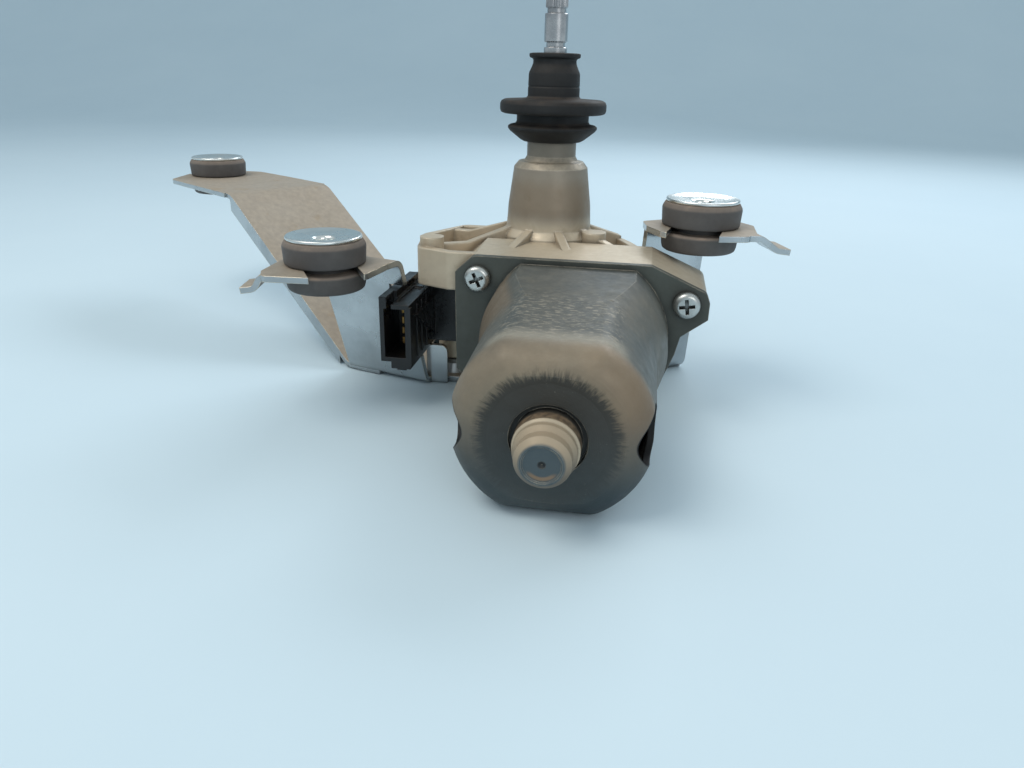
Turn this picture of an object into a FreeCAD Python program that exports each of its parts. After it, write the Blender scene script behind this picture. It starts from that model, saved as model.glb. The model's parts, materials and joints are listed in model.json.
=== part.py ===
import FreeCAD, Part
import math
import os

# Rear wiper motor with its mounting bracket, in millimetres.
# The origin lies on the output shaft's axis, in the underside of the bracket.
# +Z runs up the output shaft, and the motor can points along -Y.

V = FreeCAD.Vector
UP = V(0, 0, 1)
ORIGIN = V(0, 0, 0)

# Motor axis
motor_x = 15.0              # offset of the worm and the can from the output shaft
can_tilt = 3.0              # degrees that the motor axis dips towards the nose
running_gap = 0.05          # radial clearance of a shaft in its bush
free_gap = 0.3              # clearance between pieces that don't touch
wall = 3.0                  # wall of the cast housing

# Motor can, distances along the motor axis from the output shaft
flange_s = 39.8
flange_t = 2.2
can_face_s = 114.0
can_wall = 1.8
can_base_r = 30.9
can_half_height = can_base_r * 0.79
can_half_width = can_base_r * 0.877
can_body_r = can_base_r * 0.893
can_base_len = 11.0         # round base section, in front of the flange
can_taper_len = 20.0        # from the base section down to the slimmer body
can_edge_r = 6.5
can_front_r = 8.6
face_recess_r = 17.5
face_recess = 0.8
motor_z = can_half_height + 5.7     # height of the motor axis beside the output shaft
nose_ring_r = 10.3
nose_ring_depth = 2.4
nose_r = 8.8
nose_tip_r = 7.3
nose_s = 125.7
nose_edge_r = 1.7
window_r = 8.2
window_back = 9.4           # window centre, behind the can's face
window_depth = 8.0          # how far the punch cuts in from the side flat

# Flange that the can and the housing share, measured from the motor axis
flange_left = can_half_width + 14.2
flange_right = can_half_width + 16.1
flange_top = can_half_height + 1.9
flange_bottom = can_half_height + 2.0
flange_screws = [(-can_half_width - 6.3, can_half_height - 5.5),
                 (can_half_width + 8.7, can_half_height - 10.1)]
flange_screw_r = 2.5
screw_head_r = 4.4
screw_head_h = 3.1
screw_len = 14.0

# Housing
rim_z = 7.6                 # underside of the cast housing
cover_t = 1.5
gasket_t = 0.4
roof_z = motor_z + 11.3
roof_t = 2.6
block_z = roof_z + 12.6     # top of the ribbed block behind the flange
block_floor_z = roof_z + 3.6
rib_t = 3.0
tower_base_r = 15.6
tower_base_z = block_z + 4.0
tower_top_r = tower_base_r - 2.3
tower_top_z = tower_base_z + 23.6
neck_r = 8.8
neck_z = tower_top_z + 15.4
tower_bore_r = 6.6

# Worm gear
module = 1.0
worm_starts = 1
worm_r = 5.0                # pitch radius
wheel_teeth = 48
wheel_y = 30.0
wheel_t = 8.0
worm_half_len = 12.0
worm_tip_r = 5.85
shaft_r = 3.8               # armature shaft, and the root of the worm
tooth_backlash = 0.32
axle_r = 3.0

# Output gears and linkage
pinion_teeth = 15
sector_teeth = 27
crank_r = 8.0
coupler_len = 26.0
gear_z0 = 13.3
gear_t = 5.5
link_t = 3.0
link_gap = 0.4
pin_r = 3.0
gear_backlash = 0.34
addendum = 0.85
dedendum = 1.15
flank_angle = 20.0

# Output shaft
out_r = 4.0
out_journal_r = 3.5
out_low_z = 8.3
seat_len = 9.0              # seat for the arm's hub, between two reliefs
relief_r = 3.2
relief_w = 1.6
knurl_r = 3.8
knurl_len = 8.0
knurl_teeth = 30
thread_len = 10.6
thread_r = 2.95
bush_wall = 1.9

# Shaft seal, radii and heights
seal_lip_z = neck_z + 20.4
seal_lip_r = 8.9
seal_cap_r = 9.1
seal_flange_r = 18.8
seal_flange_top_z = neck_z + 5.6
seal_flange_t = 5.0
seal_groove_r = 12.8
seal_low_r = 15.9
seal_low_z = neck_z - 3.4
seal_bottom_z = neck_z - 8.8
seat_z = seal_lip_z + 3.4
knurl_z = seat_z + seat_len + relief_w
out_top_z = knurl_z + knurl_len + thread_len

# Rubber bushings and their steel sleeves
bushing_r = 13.65
bushing_top = 8.2
bushing_low = 6.4
bushing_waist_r = 8.3
sleeve_r = 5.0
sleeve_bore_r = 3.3
sleeve_washer_r = 12.5
sleeve_washer_t = 1.2

# Bracket
sheet_t = 2.0
bend_r = 3.6
emboss_h = 3.7
emboss_r = 7.6
bolt_r = 2.5
bolt_head_r = 4.6
bolt_head_h = 3.0
cover_screw_r = 2.0
left_bend_angle = -16.7                # plan direction of each wall's bend line
right_bend_angle = 36.0
left_wall_foot = 17.5                  # wall's lean towards its bushing, at the foot
right_wall_foot = 6.5
wall_clear = 16.6                      # bushing axis to the wall
left_wall_span = (-17.2, 18.4)         # along the bend line, from the bushing axis
right_wall_span = (-10.6, 17.0)
tail_drop = 4.6

# Connector
conn_left = motor_x - flange_left - 23.9
conn_right = conn_left + 10.4
conn_front = -50.4
conn_back = -14.0
conn_high = roof_z - 0.7
conn_low = conn_high - 25.1
conn_step = 2.4
conn_wall = 1.6
conn_mouth = 17.0
blade_w = 2.4
blade_t = 0.8

# Bushing places: plan place and underside of the fork plate
left_mount = (conn_left - 17.801, -50.2, roof_z + 7.789)
right_mount = (motor_x + flange_right - 3.699, -11.0, block_z + 6.889)
rear_mount = (-183.8, 94.5, roof_z + 14.189)

# Motor inside
magnet_t = 6.9
magnet_seat = 0.2           # glue gap between can and magnet
air_gap = 0.8
magnet_out_r = can_half_width - can_wall - magnet_seat
magnet_in_r = magnet_out_r - magnet_t
core_r = magnet_in_r - air_gap
core_root_r = core_r * 0.506
core_s = (57.0, 91.0)
core_slots = 8
magnet_s = (53.0, 95.0)
magnet_half_angle = 57.0
comm_r = core_r * 0.4885
brush_len = comm_r * 1.06
comm_s = (37.0, 49.0)
comm_bars = 16
brush_plate_s = (33.2, 35.4)

bracket_bolts = [(-34.0, -8.0), (26.0, -8.5), (26.0, 52.0)]
cover_screws = [(-44.5, 18.9), (-16.0, 62.5), (30.5, 22.0)]
boss_r = 6.4
low_boss_top = 14.6

tilt = math.radians(can_tilt)
WHEEL = V(motor_x - worm_r - module * wheel_teeth / 2, wheel_y, 0)
wheel_mid_z = motor_z + wheel_y * math.tan(tilt)
wheel_z0 = wheel_mid_z - wheel_t / 2
wheel_r = module * wheel_teeth / 2
pinion_r = module * pinion_teeth / 2
sector_r = module * sector_teeth / 2
link_len = pinion_r + sector_r

made = {}


def save(name, shape):
    """Write one named piece, or a group of like pieces, as a STEP file."""
    shape.exportStep("parts/" + name + ".step")
    made[name] = shape
    print(name, len(shape.Solids), round(shape.Volume, 1))


def cyl(r, z0, z1, x=0.0, y=0.0):
    return Part.makeCylinder(r, z1 - z0, V(x, y, z0), UP)


def ring(r_out, r_in, z0, z1, x=0.0, y=0.0):
    return cyl(r_out, z0, z1, x, y).cut(cyl(r_in, z0 - 1, z1 + 1, x, y))


def block(x0, x1, y0, y1, z0, z1):
    return Part.makeBox(x1 - x0, y1 - y0, z1 - z0, V(x0, y0, z0))


def extruded(wire, way):
    """Solid swept from a closed outline, turned the right way out."""
    body = Part.Face(wire).extrude(way)
    if body.Volume < 0:
        body.reverse()
    return body


def prism(points, z0, z1):
    """Upright prism on a plan outline of (x, y) points."""
    pts = [V(x, y, z0) for x, y in points]
    return extruded(Part.makePolygon(pts + [pts[0]]), V(0, 0, z1 - z0))


def turned(points):
    """Solid of revolution about Z from (r, z) points."""
    pts = [V(r, 0, z) for r, z in points]
    face = Part.Face(Part.makePolygon(pts + [pts[0]]))
    body = face.revolve(ORIGIN, UP, 360)
    if body.Volume < 0:
        body.reverse()
    return body


def fuse_all(shapes):
    first = shapes[0]
    if len(shapes) == 1:
        return first
    return first.multiFuse(shapes[1:]).removeSplitter()


def moved(shape, x=0.0, y=0.0, z=0.0, turn=0.0):
    out = shape.copy()
    out.Placement = FreeCAD.Placement(V(x, y, z), FreeCAD.Rotation(UP, turn)).multiply(out.Placement)
    return out


def rounded(shape, edges, r):
    return shape.makeFillet(r, edges)


def upright_edges(shape):
    return [e for e in shape.Edges
            if abs(e.BoundBox.XLength) < 1e-6 and abs(e.BoundBox.YLength) < 1e-6]


def hull(circles, z0, z1):
    """Convex prism around circles of (x, y, r), by tangent lines between them."""
    steps = 72
    pts = []
    for x, y, r in circles:
        for k in range(steps):
            a = 2 * math.pi * k / steps
            pts.append((x + r * math.cos(a), y + r * math.sin(a)))
    pts = sorted(set((round(x, 6), round(y, 6)) for x, y in pts))

    def half(points):
        chain = []
        for p in points:
            while len(chain) > 1:
                (ax, ay), (bx, by) = chain[-2], chain[-1]
                if (bx - ax) * (p[1] - ay) - (by - ay) * (p[0] - ax) > 0:
                    break
                chain.pop()
            chain.append(p)
        return chain[:-1]

    outline = half(pts) + half(pts[::-1])
    return prism(outline, z0, z1)


# The motor's own frame: local Z runs along the motor axis to the nose, local X is +X.
MOTOR = FreeCAD.Placement(
    V(motor_x, 0, motor_z), FreeCAD.Rotation(V(1, 0, 0), 90 + can_tilt))


def on_motor(shape):
    out = shape.copy()
    out.Placement = MOTOR.multiply(out.Placement)
    return out


def two_flat(r, half_w, half_h, s0, s1):
    """Round bar with flats, along the motor axis."""
    return cyl(r, s0, s1).common(block(-half_w, half_w, -half_h, half_h, s0 - 1, s1 + 1))


# Flange outline

def flange_outline(grow, s0, s1):
    """Prism of the flange that the can and the housing share."""
    g = grow
    pts = [
        (-flange_left - g, 20.5 + g * 0.4), (-flange_left + 6.2, flange_top + g),
        (23.6, flange_top + g), (flange_right - 1.3, 18.3 + g * 0.6), (flange_right + g, 15.0),
        (flange_right + g, 9.3 - g * 0.4), (34.9 + g * 0.6, 2.8), (33.6 + g, -3.6),
        (29.3 + g, -15.5), (16.5, -flange_bottom - g), (-16.5, -flange_bottom - g),
        (-30.0, -22.0 - g), (-flange_left + 2.0 - g * 0.3, -16.6 - g), (-flange_left - g, -14.6),
    ]
    flat = prism(pts, s0, s1)
    edges = [e for e in upright_edges(flat)
             if abs(e.Vertexes[0].Point.x + flange_left - 6.2) < g + 0.01
             or abs(e.Vertexes[0].Point.x - flange_right + 1.3) < 0.01]
    return rounded(flat, edges, 3.0)


def make_motor_can():
    """Deep-drawn can with its flange, side windows and bearing nose."""
    def body(shrink, s0, s1, edge_r, front_r):
        high = can_half_height - shrink
        long = two_flat(can_body_r - shrink, can_half_width - shrink, high, s0, s1)
        long = rounded(long, upright_edges(long), edge_r)
        front = [e for e in long.Edges if abs(e.BoundBox.ZMin - s1) < 1e-3]
        long = rounded(long, front, front_r)
        end = flange_s + can_base_len
        base = two_flat(can_base_r - shrink, can_base_r, high, s0, end)
        cone = turned([(0, end), (can_base_r - shrink, end),
                       (can_body_r - shrink - 0.1, end + can_taper_len), (0, end + can_taper_len)])
        base = base.fuse(cone.common(block(-60, 60, -high, high, end, end + can_taper_len)))
        return long.fuse(base).removeSplitter()

    outer = body(0.0, flange_s - flange_t, can_face_s, can_edge_r, can_front_r)
    inner = body(can_wall, flange_s - flange_t - 1, can_face_s - can_wall,
                 can_edge_r - can_wall / 2, can_front_r - can_wall)
    flange = flange_outline(0.0, flange_s - flange_t, flange_s)
    nose = turned([
        (0, can_face_s - 6), (nose_ring_r + can_wall, can_face_s - 6),
        (nose_ring_r + can_wall, can_face_s - can_wall + 0.4),
        (nose_r, can_face_s - can_wall + 0.4), (nose_r, can_face_s + 3.6),
        (nose_r - 0.5, can_face_s + 4.2), (nose_r - 0.5, can_face_s + 6.0),
        (nose_tip_r, can_face_s + 7.4), (nose_tip_r, nose_s - nose_edge_r),
        (nose_tip_r - nose_edge_r, nose_s), (nose_tip_r - nose_edge_r - 0.5, nose_s),
        (nose_tip_r - nose_edge_r - 0.8, nose_s - 0.4), (1.0, nose_s - 0.4), (0, nose_s - 1.0),
    ])
    dish = turned([(0, can_face_s - face_recess), (face_recess_r - 1.5, can_face_s - face_recess),
                   (face_recess_r + 3.0, can_face_s + 0.02), (0, can_face_s + 0.02)])
    shell = outer.cut(dish)
    shell = shell.cut(inner)
    pocket = turned([
        (0, can_face_s - 7), (8.6, can_face_s - 7), (8.6, can_face_s - 3.6), (7.0, can_face_s - 3.0),
        (7.0, can_face_s + 4.5), (5.0, can_face_s + 6.5), (5.0, nose_s - 3.2), (0, nose_s - 3.2)])
    shell = fuse_all([shell, flange.cut(inner), nose]).cut(pocket)
    shell = shell.cut(ring(nose_ring_r, nose_r, can_face_s - nose_ring_depth, can_face_s + 1))
    for sign in (1, -1):
        window = Part.makeCylinder(window_r, window_depth + 5, V(
            sign * (can_half_width - window_depth), 0, can_face_s - window_back), V(sign, 0, 0))
        shell = shell.cut(window)
    dimple = Part.makeSphere(2.6, V(can_half_width + 1.9, 10.5, flange_s + can_base_len + can_taper_len + 2.0))
    shell = shell.cut(dimple)
    for x, h in flange_screws:
        shell = shell.cut(cyl(flange_screw_r + 0.2, flange_s - 5, flange_s + 5, x, h))
    return on_motor(shell)


def pan_screw(r, head_r, head_h, length):
    """Pan-head screw with a cross recess, its head's underside at z = 0."""
    head = cyl(head_r, 0, head_h)
    top = [e for e in head.Edges if abs(e.BoundBox.ZMin - head_h) < 1e-3 and e.BoundBox.XLength > 1]
    head = rounded(head, top, head_h * 0.55)
    slot = head_r * 0.26
    arm = head_r * 0.58
    deep = head_h * 0.45
    cross = [block(-arm, arm, -slot / 2, slot / 2, deep, head_h + 1),
             block(-slot / 2, slot / 2, -arm, arm, deep, head_h + 1)]
    shank = cyl(r, -length, 0.2)
    tip = [e for e in shank.Edges if abs(e.BoundBox.ZMax + length) < 1e-3]
    shank = shank.makeChamfer(r * 0.2, tip)
    return head.fuse(shank).cut(cross[0].fuse(cross[1]))


def make_can_screws():
    out = []
    for x, h in flange_screws:
        screw = pan_screw(flange_screw_r - 0.1, screw_head_r, screw_head_h, screw_len)
        out.append(on_motor(moved(screw, x, h, flange_s, 25 if x < 0 else 8)))
    return Part.makeCompound(out)


# Housing

cavity_circles = [(-20.0, -2.0, 9.6), (-12.5, -6.4, 8.4), (4.0, -4.8, 10.0), (WHEEL.x, WHEEL.y, wheel_r + 2.2),
                  (motor_x, wheel_y, 9.0)]


def grown(circles, by):
    return [(x, y, r + by) for x, y, r in circles]


def rim_outline(z0, z1, grow=0.0):
    """Housing rim, cover and gasket share this outline: the cavity's wall and the bosses."""
    shapes = [hull(grown(cavity_circles, wall + grow), z0, z1)]
    for x, y in bracket_bolts + cover_screws:
        near = WHEEL - V(x, y, 0)
        near = V(x, y, 0) + near * (12.0 / near.Length)
        shapes.append(hull([(x, y, boss_r + grow), (near.x, near.y, boss_r * 0.7 + grow)], z0, z1))
    return fuse_all(shapes)


def block_plan(grow=0.0):
    g = grow
    return [(-30.0, -36.5 - g), (-42.0 - g, -31.5 - g), (-46.0 - g, -8.0), (-35.0, 14.0 + g),
            (22.0, 14.0 + g), (31.0 + g, -3.0), (36.5 + g, -17.0), (36.5 + g, -36.5 - g)]


front_inner_s = 26.0
front_back_s = 14.0
front_lip_y = -17.4            # where the casting starts to reach below the rim


def make_gear_housing():
    """Die-cast housing: mouth for the can, worm tunnel, wheel well, ribbed top and tower."""
    body = rim_outline(rim_z, roof_z)
    low_cut = []
    for x, y in (bracket_bolts[0], cover_screws[0]):
        low_cut.append(cyl(boss_r + 0.1, low_boss_top, roof_z + 1, x, y))
    keep = hull(grown(cavity_circles, wall), rim_z, roof_z)
    for cutter in low_cut:
        body = body.cut(cutter.cut(keep))
    front = on_motor(flange_outline(-0.4, front_back_s, flange_s - flange_t))
    top = prism(block_plan(), roof_z - 0.5, block_z)
    top = rounded(top, [e for e in upright_edges(top) if e.Vertexes[0].Point.x < -29], 4.0)
    # pockets between the ribs
    pocket = prism(block_plan(-wall), block_floor_z, block_z + 1)
    pocket = pocket.cut(cyl(tower_base_r + 1.4, block_floor_z - 1, block_z + 2))
    ribs = []
    reach = 60.0
    for k in range(9):
        a = -70 + 40 * k
        rib = extruded(Part.makePolygon([
            V(tower_base_r - 3, -rib_t / 2, block_floor_z - 1), V(reach, -rib_t / 2, block_floor_z - 1),
            V(reach, -rib_t / 2, block_z - 0.6), V(tower_base_r + 16, -rib_t / 2, block_z - 0.4),
            V(tower_base_r - 3, -rib_t / 2, tower_base_z + 1.5),
            V(tower_base_r - 3, -rib_t / 2, block_floor_z - 1)]), V(0, rib_t, 0))
        ribs.append(moved(rib, turn=a))
    inside = prism(block_plan(-0.6), block_floor_z - 1, tower_base_z + 3)
    ribs = [rib.common(inside) for rib in ribs]
    top = top.cut(pocket)
    tower = turned([
        (0, roof_z - 1), (tower_base_r + 1.8, roof_z - 1), (tower_base_r + 1.8, block_z + 1.5),
        (tower_base_r, tower_base_z), (tower_base_r - 0.5, tower_base_z + 8),
        (tower_top_r, tower_top_z - 2.2), (tower_top_r - 1.6, tower_top_z - 0.3),
        (neck_r + 0.9, tower_top_z), (neck_r, tower_top_z + 1.6), (neck_r, neck_z - 1.0),
        (neck_r - 1.0, neck_z), (0, neck_z)])
    pillars = [cyl(4.2, block_floor_z - 2, block_z + 3.0, -38.0, -26.0),
               cyl(4.5, block_floor_z - 2, block_z + 4.2, 17.5, -9.0)]
    worm_end = on_motor(cyl(8.5, -(wheel_y + 26.0), -(wheel_y + 6.0)))
    body = fuse_all([body, front, top, tower, worm_end] + ribs + pillars)

    # the wheel well and the linkage well
    body = body.cut(hull(cavity_circles, rim_z - 20, roof_z - roof_t))
    lower_boss = cyl(7.7, gear_z0 + gear_t + 1.5, roof_z)
    axle_boss = cyl(6.0, wheel_z0 + wheel_t + 1.4, roof_z, WHEEL.x, WHEEL.y)
    body = fuse_all([body, lower_boss, axle_boss])
    # the worm tunnel, its end bush and its thrust screw
    tunnel = cyl(8.2, -(wheel_y + 14.5), front_back_s - 2)
    body = body.cut(on_motor(tunnel).common(block(-60, 60, -60, 90, 0, roof_z - 1.0)))
    # the mouth for the brush plate
    mouth = two_flat(can_base_r - can_wall, can_base_r, can_half_height - can_wall,
                     front_inner_s, flange_s)
    body = body.cut(on_motor(mouth))
    body = body.cut(on_motor(cyl(7.0, front_back_s - 5, front_inner_s - 2)))
    body = body.cut(on_motor(cyl(shaft_r + 1.2, front_back_s - 5, front_inner_s + 1)))
    body = body.cut(on_motor(cyl(5.0, -(wheel_y + 21.5), -(wheel_y + 14.0))))
    body = body.cut(on_motor(cyl(4.0, -(wheel_y + 30), -(wheel_y + 20))))
    # bores
    body = body.cut(cyl(out_r + bush_wall, 10, 36.0))
    body = body.cut(cyl(out_r + 0.6, 30, neck_z + 1))
    body = body.cut(cyl(tower_bore_r, neck_z - 17.0, neck_z + 1))
    body = body.cut(cyl(axle_r, wheel_z0 - 5, roof_z - 1.0, WHEEL.x, WHEEL.y))
    for x, y in bracket_bolts:
        body = body.cut(cyl(bolt_r + 0.05, rim_z - 1, rim_z + 6.6, x, y))
    for x, y in cover_screws:
        body = body.cut(cyl(cover_screw_r + 0.05, rim_z - 1, rim_z + 6.4, x, y))
    for x, h in flange_screws:
        body = body.cut(on_motor(cyl(flange_screw_r, flange_s - screw_len - 1, flange_s, x, h)))
    # nothing of the casting reaches under the rim beside the mouth
    body = body.cut(block(-70, 60, front_lip_y, 90, -30, rim_z))
    # the port for the connector
    port = block(conn_left - 1, motor_x - 20, -22.6, -9.4, conn_low + 1.1, conn_high + 0.4)
    body = body.cut(port.cut(block(-27.4, 60, -60, 60, -50, 80)))
    body = body.cut(block(-30, -16, -19.5, -12.8, conn_low + 3.4, conn_high - 3.7))
    return max(body.Solids, key=lambda s: s.Volume)


def make_cover():
    plate = rim_outline(rim_z - gasket_t - cover_t, rim_z - gasket_t, 0.8)
    plate = plate.cut(block(-80, 80, -80, front_lip_y + free_gap, 0, 20))
    for x, y in bracket_bolts:
        plate = plate.cut(cyl(bolt_r + 0.3, 0, 20, x, y))
    for x, y in cover_screws:
        plate = plate.cut(cyl(cover_screw_r + 0.2, 0, 20, x, y))
    return plate


def make_gasket():
    z0, z1 = rim_z - gasket_t, rim_z
    seal = rim_outline(z0, z1, -0.4).cut(hull(grown(cavity_circles, 0.6), z0 - 1, z1 + 1))
    seal = seal.cut(block(-80, 80, -80, front_lip_y + free_gap, 0, 20))
    for x, y in bracket_bolts:
        seal = seal.cut(cyl(bolt_r + 0.3, 0, 20, x, y))
    for x, y in cover_screws:
        seal = seal.cut(cyl(cover_screw_r + 0.3, 0, 20, x, y))
    return seal


def make_cover_screws():
    out = []
    under = rim_z - gasket_t - cover_t
    for x, y in cover_screws:
        screw = pan_screw(cover_screw_r, 3.4, 2.4, 7.6)
        screw.Placement = FreeCAD.Placement(V(x, y, under), FreeCAD.Rotation(V(1, 0, 0), 180))
        out.append(screw)
    return Part.makeCompound(out)


def make_bracket_bolts():
    out = []
    for x, y in bracket_bolts:
        corners = [(bolt_head_r * 0.94 * math.cos(math.radians(60 * k)),
                    bolt_head_r * 0.94 * math.sin(math.radians(60 * k))) for k in range(6)]
        hexagon = prism(corners, emboss_h - bolt_head_h, emboss_h - 0.4)
        collar = cyl(bolt_head_r + 0.4, emboss_h - 0.9, emboss_h)
        shank = cyl(bolt_r, emboss_h - 0.5, rim_z + 6.0)
        out.append(moved(fuse_all([hexagon, collar, shank]), x, y))
    return Part.makeCompound(out)


# Bracket

def direction(angle):
    a = math.radians(angle)
    return V(math.cos(a), math.sin(a), 0)


def bent_wall(mount, angle, foot, span, inward):
    """Sheet that rises from the base, leans towards the bushing and turns out at the top."""
    x, y, z = mount
    along = direction(angle)
    out = direction(angle - 90)
    # profile points (t, z) of the sheet's middle, t along out from the bushing axis
    top = z + sheet_t / 2
    low = sheet_t / 2
    foot -= wall_clear - 15.2
    points = [(-wall_clear - foot - inward, low), (-wall_clear - foot, low),
              (-wall_clear, top), (-bushing_waist_r - 1.0, top)]
    mid = rounded_path(points, bend_r)
    start = V(x, y, 0) + along * span[0]
    return sheet_from(mid, start, along, out, span[1] - span[0])


def rounded_path(points, r):
    """Line and arc pieces through (t, z) points, each inner corner rounded by r."""
    parts = []
    here = points[0]
    for k in range(1, len(points) - 1):
        a, b, c = points[k - 1], points[k], points[k + 1]
        u = unit2(a, b)
        w = unit2(b, c)
        turn = math.acos(max(-1, min(1, u[0] * w[0] + u[1] * w[1])))
        cut = r * math.tan(turn / 2)
        p = (b[0] - u[0] * cut, b[1] - u[1] * cut)
        q = (b[0] + w[0] * cut, b[1] + w[1] * cut)
        side = 1 if u[0] * w[1] - u[1] * w[0] > 0 else -1
        centre = (p[0] - u[1] * r * side, p[1] + u[0] * r * side)
        parts.append(("line", here, p))
        parts.append(("arc", p, q, centre, side))
        here = q
    parts.append(("line", here, points[-1]))
    return parts


def unit2(a, b):
    d = math.hypot(b[0] - a[0], b[1] - a[1])
    return ((b[0] - a[0]) / d, (b[1] - a[1]) / d)


def sheet_from(parts, start, along, out, width, thick=sheet_t):
    """Sheet of the given width whose middle follows the path, in the plane of out and Z."""
    def at(p, shift):
        return start + out * (p[0] + shift[0]) + UP * (p[1] + shift[1])

    h = thick / 2
    edges = []
    for sign in (1, -1):
        run = []
        for part in parts:
            if part[0] == "line":
                u = unit2(part[1], part[2])
                n = (-u[1] * h * sign, u[0] * h * sign)
                run.append(Part.LineSegment(at(part[1], n), at(part[2], n)).toShape())
            else:
                p, q, c, side = part[1:]
                ends = []
                for k in (p, q):
                    e = unit2(c, k)
                    r = math.hypot(k[0] - c[0], k[1] - c[1]) - side * h * sign
                    ends.append((c[0] + e[0] * r, c[1] + e[1] * r))
                m = unit2(c, ((p[0] + q[0]) / 2, (p[1] + q[1]) / 2))
                r = math.hypot(p[0] - c[0], p[1] - c[1]) - side * h * sign
                middle = (c[0] + m[0] * r, c[1] + m[1] * r)
                run.append(Part.Arc(at(ends[0], (0, 0)), at(middle, (0, 0)),
                                    at(ends[1], (0, 0))).toShape())
        edges.append(run)
    first, last = parts[0], parts[-1]
    for part, k in ((first, 1), (last, 2)):
        u = unit2(part[1], part[2])
        n = (-u[1] * h, u[0] * h)
        m = (u[1] * h, -u[0] * h)
        edges.append([Part.LineSegment(at(part[k], n), at(part[k], m)).toShape()])
    wire = Part.Wire(Part.__sortEdges__([e for run in edges for e in run]))
    return extruded(wire, along * width)


def fork_plate(mount, outline, slot_angle, slot_half):
    """Flat fork with an open slot for a bushing's waist."""
    x, y, z = mount
    plate = prism([(x + dx, y + dy) for dx, dy in outline], z, z + sheet_t)
    edges = upright_edges(plate)
    plate = rounded(plate, edges, 2.4)
    slot = fuse_all([cyl(slot_half, z - 1, z + sheet_t + 1, x, y),
                     moved(block(0, 40, -slot_half, slot_half, -1, sheet_t + 1), x, y, z, slot_angle)])
    return plate.cut(slot)


def tail(mount, dx, dy, angle, width, length):
    """Prong tip that curls down, away from the bushing."""
    x, y, z = mount
    mid = rounded_path([(-3.0, sheet_t / 2), (1.5, sheet_t / 2),
                        (length - 3.0, sheet_t / 2 - tail_drop + 0.6),
                        (length + 1.5, sheet_t / 2 - tail_drop)], 3.0)
    out = direction(angle)
    along = direction(angle + 90)
    start = V(x + dx, y + dy, z) - along * (width / 2)
    return sheet_from(mid, start, along, out, width)


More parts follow.
